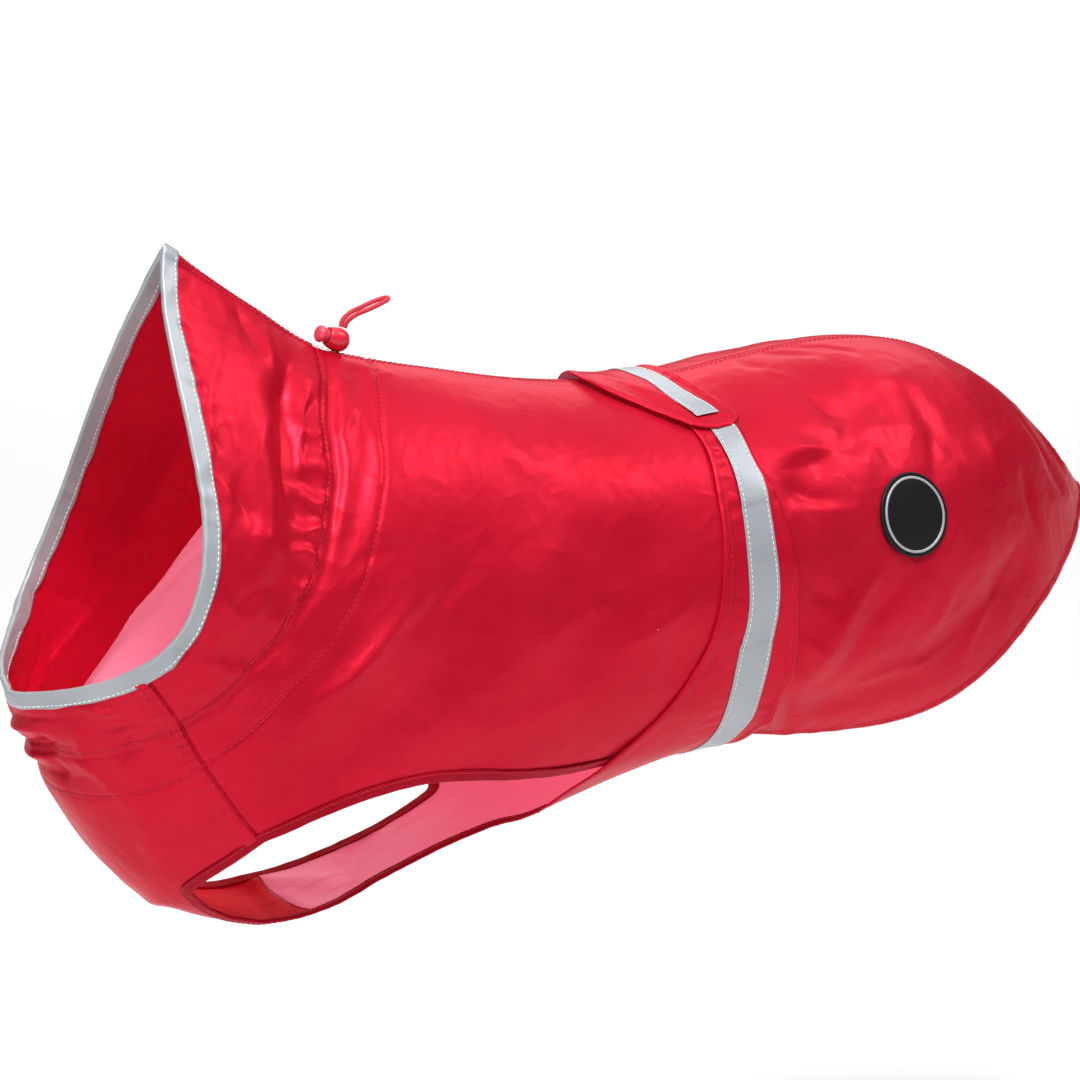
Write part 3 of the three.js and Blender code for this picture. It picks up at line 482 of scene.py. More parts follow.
class Shell:
    """Builds a closed sheet of cloth, with rounded edges, from patches that share stations."""

    def __init__(self, name: str, wraps: bool = False) -> None:
        """Start an empty sheet; wraps joins stations a whole turn apart."""
        self.name = name
        self.wraps = wraps

    def build(self, patches: Sequence[Patch], outside: bpy.types.Material,
              inside: bpy.types.Material) -> bpy.types.Object:
        """Make the mesh.

        Args:
            patches: grids whose around rises along each row and whose back rises from row to row.
            outside: material of the outer face and the rim.
            inside: material of the inner face.

        Returns:
            The new object, linked to the scene.
        """
        stations, quads = [], []
        first = 0
        for patch in patches:
            rows, columns = patch.back.shape
            stations.append(np.stack([patch.back, patch.around, patch.top, patch.thick], -1).reshape(-1, 4))
            ids = first + np.arange(rows * columns).reshape(rows, columns)
            cells = np.stack([ids[:-1, :-1], ids[:-1, 1:], ids[1:, 1:], ids[1:, :-1]], -1)
            quads.append(cells.reshape(-1, 4))
            first += rows * columns
        station = np.vstack(stations)
        quad = np.vstack(quads)
        key = np.round(station[:, :2], 4)
        if self.wraps:
            key[:, 1] = np.mod(key[:, 1], 360.0)
        _, keep, same = np.unique(key, axis=0, return_index=True, return_inverse=True)
        station = station[keep]
        quad = same.ravel()[quad]
        back, around, top, thick = station.T
        outer = cloth_points(back, around, top)
        inner = cloth_points(back, around, top - thick)
        edges = np.concatenate([quad[:, [i, (i + 1) % 4]] for i in range(4)])
        _, index, count = np.unique(np.sort(edges, axis=1), axis=0, return_index=True, return_counts=True)
        open_edges = edges[index[count == 1]]
        total = len(station)
        rim_ids = np.unique(open_edges)
        rim_of = np.full(total, -1)
        rim_of[rim_ids] = np.arange(len(rim_ids)) + 2 * total
        away = np.zeros((total, 3))
        normal = Form.normal(back, around)
        step = outer[open_edges[:, 1]] - outer[open_edges[:, 0]]
        side = np.cross(step, normal[open_edges[:, 0]])
        side /= np.maximum(np.linalg.norm(side, axis=1, keepdims=True), 1e-12)
        np.add.at(away, open_edges[:, 0], side)
        np.add.at(away, open_edges[:, 1], side)
        away /= np.maximum(np.linalg.norm(away, axis=1, keepdims=True), 1e-12)
        rim = (outer + inner)[rim_ids] / 2 + away[rim_ids] * (thick[rim_ids, None] * 0.5 * MM)
        a, b = open_edges[:, 0], open_edges[:, 1]
        rim_outer = np.stack([b, a, rim_of[a], rim_of[b]], -1)
        rim_inner = np.stack([rim_of[b], rim_of[a], a + total, b + total], -1)
        faces = np.vstack([quad, rim_outer, rim_inner, quad[:, ::-1] + total])
        slots = np.zeros(len(faces), dtype=np.int32)
        slots[-len(quad):] = 1
        vertices = np.vstack([outer, inner, rim])
        flat = np.concatenate([np.column_stack([back, around * MM_PER_DEGREE])] * 2
                              + [np.column_stack([back, around * MM_PER_DEGREE])[rim_ids]])
        return MeshWriter.write(self.name, vertices, faces, [outside, inside], slots, flat * 0.01)


class MeshWriter:
    """Turns arrays into linked Blender objects."""

    @staticmethod
    def write(name: str, vertices: np.ndarray, faces: np.ndarray | Sequence[Sequence[int]],
              materials: Sequence[bpy.types.Material], slots: np.ndarray | None = None,
              flat: np.ndarray | None = None, smooth: bool = True) -> bpy.types.Object:
        """Make an object from vertices and faces.

        Args:
            name: name of the piece.
            vertices: points in metres.
            faces: vertex numbers of each face.
            materials: the piece's materials.
            slots: material number of each face.
            flat: a place on the cut cloth for each vertex, kept as the piece's UV map.
            smooth: whether faces are shaded smooth.

        Returns:
            The new object.
        """
        mesh = bpy.data.meshes.new(name)
        mesh.from_pydata(vertices.tolist(), [], [list(map(int, face)) for face in faces])
        for material in materials:
            mesh.materials.append(material)
        if slots is not None:
            mesh.polygons.foreach_set("material_index", np.asarray(slots, dtype=np.int32))
        mesh.polygons.foreach_set("use_smooth", np.full(len(mesh.polygons), smooth))
        if flat is not None:
            layer = mesh.uv_layers.new(name="cut")
            loops = np.empty(len(mesh.loops), dtype=np.int32)
            mesh.loops.foreach_get("vertex_index", loops)
            layer.data.foreach_set("uv", flat[loops].astype(np.float32).ravel())
        mesh.update()
        piece = bpy.data.objects.new(name, mesh)
        bpy.context.scene.collection.objects.link(piece)
        return piece


class Side(Enum):
    """Which side of the wearer a piece is on."""

    LEFT = 1
    RIGHT = -1


class EffectGroup(Enum):
    """Shader node groups that several finishes share."""

    WEAVE = "fine_weave"
    CRINKLE = "soft_crinkle"
    MOTTLE = "uneven_dye"


class Effects:
    """Builds the shared shader node groups, each once."""

    @staticmethod
    def _start(name: str, inputs: Sequence[tuple[str, float]], outputs: Sequence[str],
               ) -> tuple[bpy.types.NodeTree, bpy.types.Node, bpy.types.Node]:
        """Open a new group with plain number inputs and outputs.

        Args:
            name: name of the group.
            inputs: name and default of each input.
            outputs: name of each output.

        Returns:
            The group and its input and output nodes.
        """
        tree = bpy.data.node_groups.new(name, "ShaderNodeTree")
        for label, value in inputs:
            socket = tree.interface.new_socket(label, in_out="INPUT", socket_type="NodeSocketFloat")
            socket.default_value = value
        for label in outputs:
            tree.interface.new_socket(label, in_out="OUTPUT", socket_type="NodeSocketFloat")
        return tree, tree.nodes.new("NodeGroupInput"), tree.nodes.new("NodeGroupOutput")

    @staticmethod
    def math(tree: bpy.types.NodeTree, operation: str, first: object, second: object = None) -> object:
        """Place a Math node fed by sockets or numbers and return its result."""
        node = tree.nodes.new("ShaderNodeMath")
        node.operation = operation
        for slot, value in enumerate((first, second)):
            if value is None:
                continue
            if isinstance(value, (int, float)):
                node.inputs[slot].default_value = value
            else:
                tree.links.new(value, node.inputs[slot])
        return node.outputs[0]

    @classmethod
    def weave(cls) -> bpy.types.NodeTree:
        """Height and mask of a fine plain weave, from the place on the cut cloth."""
        name = EffectGroup.WEAVE.value
        if name in bpy.data.node_groups:
            return bpy.data.node_groups[name]
        tree, start, end = cls._start(name, [("Threads", 200.0)], ["Height", "Mask"])
        place = tree.nodes.new("ShaderNodeUVMap")
        place.uv_map = "cut"
        split = tree.nodes.new("ShaderNodeSeparateXYZ")
        tree.links.new(place.outputs[0], split.inputs[0])
        waves = []
        for axis in (0, 1):
            turn = cls.math(tree, "MULTIPLY", split.outputs[axis], start.outputs["Threads"])
            waves.append(cls.math(tree, "SINE", cls.math(tree, "MULTIPLY", turn, 2 * math.pi)))
        product = cls.math(tree, "MULTIPLY", waves[0], waves[1])
        height = cls.math(tree, "MULTIPLY", cls.math(tree, "ADD", product, 1.0), 0.5)
        tree.links.new(height, end.inputs["Height"])
        tree.links.new(cls.math(tree, "POWER", height, 2.0), end.inputs["Mask"])
        return tree

    @classmethod
    def crinkle(cls) -> bpy.types.NodeTree:
        """Height of the small soft creases that thin coated cloth keeps."""
        name = EffectGroup.CRINKLE.value
        if name in bpy.data.node_groups:
            return bpy.data.node_groups[name]
        tree, start, end = cls._start(name, [("Scale", 30.0), ("Stretch", 1.6)], ["Height"])
        place = tree.nodes.new("ShaderNodeTexCoord")
        bend = tree.nodes.new("ShaderNodeTexNoise")
        bend.inputs["Scale"].default_value = 14.0
        tree.links.new(place.outputs["Object"], bend.inputs["Vector"])
        moved = tree.nodes.new("ShaderNodeVectorMath")
        moved.operation = "MULTIPLY_ADD"
        moved.inputs[1].default_value = (0.03, 0.03, 0.03)
        tree.links.new(bend.outputs["Color"], moved.inputs[0])
        tree.links.new(place.outputs["Object"], moved.inputs[2])
        noise = tree.nodes.new("ShaderNodeTexNoise")
        noise.inputs["Detail"].default_value = 2.0
        noise.inputs["Roughness"].default_value = 0.45
        tree.links.new(moved.outputs[0], noise.inputs["Vector"])
        tree.links.new(start.outputs["Scale"], noise.inputs["Scale"])
        centred = cls.math(tree, "ABSOLUTE", cls.math(tree, "SUBTRACT", noise.outputs[0], 0.5))
        ridge = cls.math(tree, "SUBTRACT", 1.0, cls.math(tree, "MULTIPLY", centred, start.outputs["Stretch"]))
        tree.links.new(ridge, end.inputs["Height"])
        return tree

    @classmethod
    def mottle(cls) -> bpy.types.NodeTree:
        """Slow unevenness of dye and handling, around a mean of one half."""
        name = EffectGroup.MOTTLE.value
        if name in bpy.data.node_groups:
            return bpy.data.node_groups[name]
        tree, start, end = cls._start(name, [("Scale", 9.0)], ["Value"])
        place = tree.nodes.new("ShaderNodeTexCoord")
        noise = tree.nodes.new("ShaderNodeTexNoise")
        noise.inputs["Detail"].default_value = 4.0
        noise.inputs["Roughness"].default_value = 0.6
        tree.links.new(place.outputs["Object"], noise.inputs["Vector"])
        tree.links.new(start.outputs["Scale"], noise.inputs["Scale"])
        tree.links.new(noise.outputs[0], end.inputs["Value"])
        return tree


Colour = tuple[float, float, float]


@dataclass(frozen=True)
class Finish:
    """A finish of one of the coat's pieces, with a dark and a light colour that its dye drifts between.

    Its emission, in its light colour, is painted light that stands for the daylight that comes through thin
    cloth.
    """

    name: str
    dark: Colour
    light: Colour
    roughness: float
    specular: float = 0.4
    gloss: Colour = (1.0, 1.0, 1.0)
    metallic: float = 0.0
    sheen: float = 0.0
    painted_glow: float = 0.0
    coat: float = 0.0
    threads: float = 0.0
    weave: float = 0.0
    crinkle: float = 0.0
    crinkle_scale: float = 34.0
    grain: float = 0.0
    grain_scale: float = 900.0

    def _place(self, tree: bpy.types.NodeTree, group: bpy.types.NodeTree, **values: float) -> bpy.types.Node:
        """Place a shared group in the material with this finish's own values."""
        node = tree.nodes.new("ShaderNodeGroup")
        node.node_tree = group
        for label, value in values.items():
            node.inputs[label].default_value = value
        return node

    def _bump(self, tree: bpy.types.NodeTree, height: object, distance: float, below: object) -> object:
        """Add one layer of relief over the normal below it and return the new normal."""
        node = tree.nodes.new("ShaderNodeBump")
        node.inputs["Strength"].default_value = 1.0
        node.inputs["Distance"].default_value = distance
        tree.links.new(height, node.inputs["Height"])
        if below is not None:
            tree.links.new(below, node.inputs["Normal"])
        return node.outputs["Normal"]

    def material(self) -> bpy.types.Material:
        """Build the material once and return it."""
        if self.name in bpy.data.materials:
            return bpy.data.materials[self.name]
        material = bpy.data.materials.new(self.name)
        material.use_nodes = True
        tree = material.node_tree
        shader = tree.nodes["Principled BSDF"]
        shader.inputs["Metallic"].default_value = self.metallic
        shader.inputs["Specular IOR Level"].default_value = self.specular
        shader.inputs["Specular Tint"].default_value = (*self.gloss, 1)
        shader.inputs["Sheen Weight"].default_value = self.sheen
        shader.inputs["Sheen Roughness"].default_value = 0.4
        # Emission is painted light for daylight through thin cloth; it is off unless a finish sets its
        # strength.
        shader.inputs["Emission Color"].default_value = (*self.light, 1)
        shader.inputs["Emission Strength"].default_value = self.painted_glow
        shader.inputs["Coat Weight"].default_value = self.coat
        shader.inputs["Coat Roughness"].default_value = 0.25
        mottle = self._place(tree, Effects.mottle(), Scale=11.0)
        spread_range = tree.nodes.new("ShaderNodeMapRange")
        spread_range.inputs["From Min"].default_value = 0.3
        spread_range.inputs["From Max"].default_value = 0.7
        tree.links.new(mottle.outputs["Value"], spread_range.inputs["Value"])
        mix = tree.nodes.new("ShaderNodeMix")
        mix.data_type = "RGBA"
        mix.inputs[6].default_value = (*self.dark, 1)
        mix.inputs[7].default_value = (*self.light, 1)
        tree.links.new(spread_range.outputs[0], mix.inputs[0])
        tree.links.new(mix.outputs[2], shader.inputs["Base Color"])
        rough = tree.nodes.new("ShaderNodeMapRange")
        rough.inputs["To Min"].default_value = self.roughness - 0.05
        rough.inputs["To Max"].default_value = self.roughness + 0.05
        tree.links.new(mottle.outputs["Value"], rough.inputs["Value"])
        tree.links.new(rough.outputs[0], shader.inputs["Roughness"])
        normal = None
        if self.crinkle:
            crinkle = self._place(tree, Effects.crinkle(), Scale=self.crinkle_scale)
            normal = self._bump(tree, crinkle.outputs["Height"], self.crinkle * MM, normal)
        if self.weave:
            weave = self._place(tree, Effects.weave(), Threads=self.threads)
            normal = self._bump(tree, weave.outputs["Height"], self.weave * MM, normal)
        if self.grain:
            grain = self._place(tree, Effects.mottle(), Scale=self.grain_scale)
            normal = self._bump(tree, grain.outputs["Value"], self.grain * MM, normal)
        if normal is not None:
            tree.links.new(normal, shader.inputs["Normal"])
        return material


SHELL_RED = Finish("coated_red_cloth", (0.47, 0.004, 0.020), (0.56, 0.010, 0.032), 0.37, specular=0.18,
                   gloss=(1.0, 0.45, 0.5), metallic=0.38, threads=22.0, weave=0.012,
                   crinkle=0.9, crinkle_scale=42.0)
# Pink is the reverse's own colour; its emission is painted light that stands for daylight coming through the
# thin cloth.
SHELL_REVERSE = Finish("pink_reverse", (0.98, 0.26, 0.40), (1.0, 0.34, 0.49), 0.42, specular=0.2, painted_glow=0.13,
                       threads=22.0, weave=0.012, crinkle=1.2, crinkle_scale=36.0)
LINING_RED = Finish("red_lining", (0.50, 0.003, 0.018), (0.60, 0.005, 0.026), 0.46, specular=0.05,
                    gloss=(1.0, 0.3, 0.35), metallic=0.3, threads=22.0, weave=0.015,
                    crinkle=1.0, crinkle_scale=36.0)
BINDING_RED = Finish("red_binding", (0.30, 0.0015, 0.012), (0.38, 0.0025, 0.017), 0.46, specular=0.06,
                     metallic=0.15,
                     threads=26.0, weave=0.03, crinkle=0.3, crinkle_scale=60.0)
SILVER = Finish("reflective_silver", (0.29, 0.31, 0.335), (0.40, 0.425, 0.45), 0.40, specular=0.4,
                metallic=0.25, grain=0.05, grain_scale=1600.0, crinkle=0.3, crinkle_scale=40.0)
RED_THREAD = Finish("red_thread", (0.42, 0.004, 0.016), (0.56, 0.01, 0.035), 0.6, sheen=0.2,
                    grain=0.04, grain_scale=2600.0)
PALE_THREAD = Finish("pale_thread", (0.74, 0.75, 0.77), (0.86, 0.87, 0.88), 0.6, sheen=0.2,
                     grain=0.04, grain_scale=2600.0)
BLACK_RUBBER = Finish("black_rubber", (0.004, 0.004, 0.0045), (0.008, 0.008, 0.009), 0.42, specular=0.22,
                      grain=0.05, grain_scale=700.0)
RING_PAINT = Finish("silver_ring_paint", (0.30, 0.31, 0.32), (0.42, 0.43, 0.44), 0.4, metallic=0.3,
                    grain=0.02, grain_scale=1200.0)
LOCK_RED = Finish("red_lock_plastic", (0.60, 0.01, 0.03), (0.68, 0.02, 0.045), 0.3, specular=0.5,
                  coat=0.15, grain=0.01, grain_scale=500.0)
PLUNGER_RED = Finish("red_plunger_plastic", (0.70, 0.05, 0.09), (0.76, 0.08, 0.12), 0.32, specular=0.5,
                     coat=0.15, grain=0.01, grain_scale=500.0)
CORD_RED = Finish("red_elastic_cord", (0.50, 0.012, 0.03), (0.64, 0.03, 0.06), 0.65, sheen=0.25,
                  grain=0.25, grain_scale=1500.0)


@dataclass
class Stitching:
    """A row of stitches laid on the cloth along a line."""

    name: str
    finish: Finish
    length: float = 2.5
    pause: float = 0.8
    radius: float = 0.2

    def points(self, lines: Sequence[np.ndarray], normals: Sequence[np.ndarray]) -> bpy.types.Object:
        """Make the stitches.

        Args:
            lines: points of each line, in metres, close together.
            normals: the direction out of the cloth at each of those points.

        Returns:
            One object with every stitch of the lines.
        """
        sides, sections = 6, (0.0, 0.14, 0.5, 0.86, 1.0)
        swell = (0.35, 0.9, 1.0, 0.9, 0.35)
        sink = (-0.5, 0.25, 0.55, 0.25, -0.5)
        turns = np.arange(sides) * 2 * math.pi / sides
        vertices, faces = [], []
        for line, normal in zip(lines, normals):
            run = np.concatenate([[0], np.cumsum(np.linalg.norm(np.diff(line, axis=0), axis=1))])
            pitch = (self.length + self.pause) * MM
            starts = np.arange(0.3 * pitch, run[-1] - self.length * MM, pitch)
            for start in starts:
                at = start + np.array(sections) * self.length * MM
                centre = np.stack([np.interp(at, run, line[:, k]) for k in range(3)], -1)
                up = np.stack([np.interp(at, run, normal[:, k]) for k in range(3)], -1)
                up /= np.linalg.norm(up, axis=1, keepdims=True)
                along = centre[-1] - centre[0]
                along /= max(np.linalg.norm(along), 1e-9)
                across = np.cross(along, up)
                across /= np.maximum(np.linalg.norm(across, axis=1, keepdims=True), 1e-9)
                r = self.radius * MM
                first = len(vertices)
                for k in range(len(sections)):
                    middle = centre[k] + up[k] * sink[k] * r
                    ring = (middle + across[k] * (np.cos(turns) * r * swell[k])[:, None]
                            + up[k] * (np.sin(turns) * r * swell[k])[:, None])
                    vertices.extend(ring)
                for k in range(len(sections) - 1):
                    for side in range(sides):
                        a = first + k * sides + side
                        b = first + k * sides + (side + 1) % sides
                        faces.append((a, a + sides, b + sides, b))
                faces.append(tuple(first + side for side in range(sides)))
                last = first + (len(sections) - 1) * sides
                faces.append(tuple(last + side for side in reversed(range(sides))))
        return MeshWriter.write(self.name, np.array(vertices), faces, [self.finish.material()])

    def along(self, places: Sequence[tuple[np.ndarray, np.ndarray, np.ndarray]]) -> bpy.types.Object:
        """Make stitches along lines given as back, around and height above the form."""
        lines = [cloth_points(back, around, out) for back, around, out in places]
        return self.points(lines, [Form.normal(back, around) for back, around, _ in places])


def dress(piece: bpy.types.Object, body: str, slot: str, *nodes: str) -> bpy.types.Object:
    """Put a piece on its body and let it stand for its nodes.

    Args:
        piece: the new piece.
        body: name of the body that it moves with.
        slot: not used.
        nodes: the CAD nodes that it replaces.

    Returns:
        The same piece.
    """
    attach(piece, body)
    if nodes:
        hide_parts(*nodes)
    log.info("%s: %d faces", piece.name, len(getattr(piece.data, "polygons", [])))
    return piece


@dataclass
class BackPanels:
    """The left and right back panels, joined along the centre back."""

    top: float = 0.95
    thick: float = 0.6
    hem_width: float = 5.0
    hem_lift: float = 0.75
    seam_end: float = SEAM_END
    tail_end: float = 651.0

    def edge(self, back: np.ndarray) -> np.ndarray:
        """Angle of the panel's lower edge at a row."""
        back = np.asarray(back, dtype=float)
        return np.where(back <= self.seam_end, read_line(CHEST_SEAM, back), read_line(SIDE_HEM, back))

    def shares(self) -> np.ndarray:
        """Shares across a row, close together at the centre seam and at the lower edge."""
        near = np.array([0, 0.0035, 0.007, 0.011, 0.016, 0.022, 0.03])
        middle = np.linspace(0.03, 0.962, 108)[1:]
        far = np.array([0.967, 0.971, 0.975, 0.979, 0.983, 0.987, 0.991, 0.995, 1.0])
        return np.concatenate([near, middle, far])

    def grid(self, side: Side) -> tuple[np.ndarray, np.ndarray]:
        """Places of the panel's stations, with around rising along each row."""
        rows = spread([(0, 0), (78, 2.4), (152, 1.3), (173, 2.4), (636, 3.2), (642, 1.5), (651, 0.8)])
        share = self.shares()
        first = 0.12
        around = first + (self.edge(rows)[:, None] - 0.06 - first) * share[None]
        back = np.broadcast_to(rows[:, None], around.shape)
        if side is Side.RIGHT:
            return back[:, ::-1].copy(), -around[:, ::-1]
        return back.copy(), around

    def hem_line(self, side: Side) -> tuple[np.ndarray, np.ndarray]:
        """Places along the hem, from the leg opening to the tail and up to the centre back."""
        back = spread([(self.seam_end, 0), (self.tail_end, 1.5)])
        around = self.edge(back)
        end = np.linspace(around[-1], 0, 24)[1:]
        back = np.concatenate([back, np.full(len(end), self.tail_end)])
        return back, np.concatenate([around, end]) * side.value

    def patch(self, side: Side) -> Patch:
        """The panel's grid with its hem, seams and gathers."""
        back, around = self.grid(side)
        line_back, line_around = self.hem_line(side)
        distance = edge_distance(Form.point(back, around), Form.point(line_back, line_around), 12.0)
        hem = Hem.rise(distance, self.hem_width, self.hem_lift)
        wave = 0.30 * bump((distance - 4) / 4) * drift(back, around * MM_PER_DEGREE, 17, 31)
        centre = np.abs(turned(around)) * MM_PER_DEGREE
        seam = -0.75 * bump(centre / 0.9)
        if side is Side.LEFT:
            seam = seam + 0.35 * smoothstep(centre, 0.8, 1.6) * (1 - smoothstep(centre, 5.2, 6.2))
        seam = seam * smoothstep(back, 3, 9)
        front_edge = np.abs(self.edge(back) - np.abs(around)) * 1.6
        to_chest = (back < self.seam_end - 2) * (-0.7 * bump(front_edge / 1.0))
        top = self.top + hem + wave + seam + to_chest + Relief.gathers(back, around)
        top = top + Relief.stitch_dents(back, around)
        top = top + self.binding_puckers(back, around)
        bound = smoothstep(-back, -312, -300) * smoothstep(back, self.seam_end - 2, self.seam_end)
        bound = bound * (1 - smoothstep(distance, 5.4, 7.4))
        calm = self.top - 0.1 + Relief.gathers(back, around) + Relief.stitch_dents(back, around)
        top = top + (calm - top) * bound
        thick = self.thick + np.maximum(hem, 0) * (1 - bound)
        return Patch(back, around, top, np.broadcast_to(thick, top.shape).copy())

    @staticmethod
    def binding_puckers(back: np.ndarray, around: np.ndarray) -> np.ndarray:
        """Small creases where the collar's binding draws the cloth in."""
        fade = bump((back - 9) / 8.0)
        across = around * MM_PER_DEGREE
        comb = np.sin(across * 2 * math.pi / 13 + 2.0 * np.sin(across / 9.0))
        comb = comb * drift(back * 0.3, across, 40, 3)
        return 0.7 * fade * comb

    def build(self) -> list[bpy.types.Object]:
        """Make both panels and their stitching."""
        made = []
        for side, node in ((Side.LEFT, "back_left"), (Side.RIGHT, "back_right")):
            piece = Shell(f"panel_{node}").build([self.patch(side)], SHELL_RED.material(),
                                                 SHELL_REVERSE.material())
            dress(piece, COAT, "shell", node)
            dress(self.stitches(side, node), COAT, "shell")
            made.append(piece)
        return made

    def stitches(self, side: Side, node: str) -> bpy.types.Object:
        """Stitches of the hem, the channel's two lines and the felled centre seam."""
        back, around = self.hem_line(side)
        keep = (back >= self.seam_end + 105)
        back, around = back[keep], around[keep]
        points = Form.point(back, around)
        step = np.gradient(points, axis=0)
        normal = Form.normal(back, around)
        inward = np.cross(normal, step)
        inward /= np.linalg.norm(inward, axis=1, keepdims=True)
        inward *= side.value
        hem_line = points + inward * 3.9
        hem_line = hem_line + normal * (self.top + 0.75 + Relief.height(back, around))[:, None]
        thread = Stitching(f"thread_{node}", RED_THREAD, radius=0.19)
        lines, normals = [hem_line * MM], [normal]
        for table, lift in ((CHANNEL_FRONT, -0.55), (CHANNEL_REAR, -0.1)):
            end = float(read_line(CHEST_SEAM, np.array([90.0]))[0])
            angle = np.linspace(1.0, end - 1, 260)
            at = read_line(table, angle)
            turn = angle * side.value
            out = self.top + lift + Relief.gathers(at, turn) + 0.15
            lines.append(cloth_points(at, turn, out))
            normals.append(Form.normal(at, turn))
        if side is Side.LEFT:
            at = spread([(10, 0), (640, 2.0)])
            mm_per_degree = np.linalg.norm(Form.point(at, 4.0) - Form.point(at, 2.0), axis=1) / 2
            for offset in (1.6, 4.6):
                turn = offset / mm_per_degree
                lines.append(cloth_points(at, turn, np.full(len(at), self.top + 0.42)))
                normals.append(Form.normal(at, turn))
        return thread.points(lines, normals)


@dataclass
class ChestPiece:
    """The chest, with the strip that runs back between the forelegs."""

    top: float = 0.95
    thick: float = 0.6
    strip_end: float = 244.15
    band_columns: int = 26
    strip_columns: int = 40

    def columns(self, back: np.ndarray) -> np.ndarray:
        """Angles across the chest at each row, from the left seam to the right one."""
        seam = read_line(CHEST_SEAM, np.minimum(back, SEAM_END)) + 0.10
        half = read_line(STRIP, back)
        strip = self.strip_angles(back, half)
        share = np.concatenate([[0, 0.012, 0.025, 0.04, 0.06], np.linspace(0.08, 1, self.band_columns)])[:-1]
        left = seam[:, None] + (strip[:, :1] - seam[:, None]) * share
        return np.concatenate([left, strip, 360 - left[:, ::-1]], axis=1)

    def strip_angles(self, back: np.ndarray, half: np.ndarray) -> np.ndarray:
        """Angles across the strip at each row, evenly spaced in width."""
        share = np.linspace(0, 1, self.strip_columns + 1)
        offset = half[:, None] * np.abs(1 - 2 * share)[None]
        angle = Form.angle_at(np.broadcast_to(back[:, None], offset.shape), offset)
        return np.where(share[None] <= 0.5, angle, 360 - angle)

    def relief(self, back: np.ndarray, around: np.ndarray) -> np.ndarray:
        """Channel lines, felled seams and puckers on the chest."""
        flat = np.abs(turned(around))
        seam = read_line(CHEST_SEAM, np.minimum(back, SEAM_END))
        mm_from_seam = (flat - seam) * 1.6
        seamed = (back < SEAM_END - 1) * (flat < 175) * smoothstep(back, 12, 17)
        band = 0.75 * smoothstep(mm_from_seam, 0.6, 1.4) * (1 - smoothstep(mm_from_seam, 6.8, 8.0))
        dent = -0.8 * bump(mm_from_seam / 0.9) - 0.3 * bump((mm_from_seam - 6.2) / 0.8)
        pucker = 0.5 * bump((mm_from_seam - 4.5) / 4) * np.sin(back * 2 * math.pi / 7.5 + np.sin(back / 6))
        lines = Relief.stitch_dents(back, around) * 0.8
        return (band + dent + pucker) * seamed + lines + 0.6 * Relief.gathers(back, around) * (flat < 165)

    def patches(self) -> list[Patch]:
        """The band from seam to seam, and the strip."""
        rows = spread([(0, 0), (78, 2.6), (150, 1.7), (160, 2.4)])
        around = self.columns(rows)
        back = np.broadcast_to(rows[:, None], around.shape).copy()
        end_around = self.columns(np.array([SEAM_END + 5]))[0]
        end_back = read_line(CHEST_END, 180 - np.abs(180 - end_around))
        blend = np.linspace(0, 1, 8)[1:, None]
        back = np.vstack([back, 160 + (end_back[None] - 160) * blend])
        around = np.vstack([around, around[-1:] + (end_around[None] - around[-1:]) * blend])
        first = 4 + self.band_columns
        shared_back = end_back[first:first + self.strip_columns + 1]
        shared_around = end_around[first:first + self.strip_columns + 1]
        strip_rows = spread([(192, 0), (self.strip_end, 2.6)])
        strip_around = self.strip_angles(strip_rows, read_line(STRIP, strip_rows))
        strip_back = np.broadcast_to(strip_rows[:, None], strip_around.shape)
        strip_back = np.vstack([shared_back[None], strip_back])
        strip_around = np.vstack([shared_around[None], strip_around])
        made = []
        for b, a in ((back, around), (strip_back, strip_around)):
            top = self.top + self.relief(b, a)
            made.append(Patch(b, a, top, np.full(top.shape, self.thick)))
        return made

    def build(self) -> bpy.types.Object:
        """Make the chest and its stitching."""
        # The chest's inner face takes the dark red of the lining, darker than the pink inner faces of the back
        # panels and belly piece.
        piece = Shell("panel_chest").build(self.patches(), SHELL_RED.material(), LINING_RED.material())
        dress(piece, COAT, "shell", "chest")
        at = spread([(16, 0), (170, 2.0)])
        seam = read_line(CHEST_SEAM, at)
        places = []
        for mm in (1.6, 6.4):
            for sign in (1, -1):
                turn = (seam + mm / 1.6) * sign
                out = self.top + 0.35 + np.zeros(len(at))
                places.append((at, turn, out))
        for table in (CHANNEL_FRONT, CHANNEL_REAR):
            angle = np.linspace(122, 238, 150)
            line = read_line(table, 180 - np.abs(180 - angle))
            places.append((line, angle, np.full(len(angle), self.top - 0.15)))
        thread = Stitching("thread_chest", RED_THREAD, radius=0.19).along(places)
        dress(thread, COAT, "shell")
        return piece


@dataclass
class NeckLining:
    """Red lining inside the neck, from the collar to the rear line of the channel."""

    top: float = -0.35
    thick: float = 0.5

    def build(self) -> bpy.types.Object:
        """Make the lining."""
        share = np.linspace(0, 1, 50)
        angle = np.linspace(0, 360, 301)
        flat = np.abs(turned(angle))
        rear = read_line(CHANNEL_REAR, flat)
        back = 2 + share[:, None] * (rear[None] - 2)
        around = np.broadcast_to(angle[None], back.shape)
        across = turned(around) * MM_PER_DEGREE
        front = back - read_line(CHANNEL_FRONT, np.abs(turned(around)))
        ruffle = bump(front / 8) * 1.5 * np.sin(across * 2 * math.pi / 9 + 1.5 * np.sin(across / 11))
        panel = 0.2 + Relief.gathers(back, around) + Relief.stitch_dents(back, around)
        top = np.minimum(self.top, panel - 0.35) - 0.5 * smoothstep(-back, -9, -6) - np.abs(ruffle)
        top = top - 0.25 * bump((back - rear[None]) / 2.5)
        thick = self.thick + 0.4 * (1 - smoothstep(rear[None] - back, 3.5, 4.5)) * np.ones_like(back)
        patch = Patch(back, around.copy(), top, thick)
        piece = Shell("panel_neck_lining", wraps=True).build([patch], LINING_RED.material(),
                                                             LINING_RED.material())
        dress(piece, COAT, "lining", "neck_lining")
        return piece


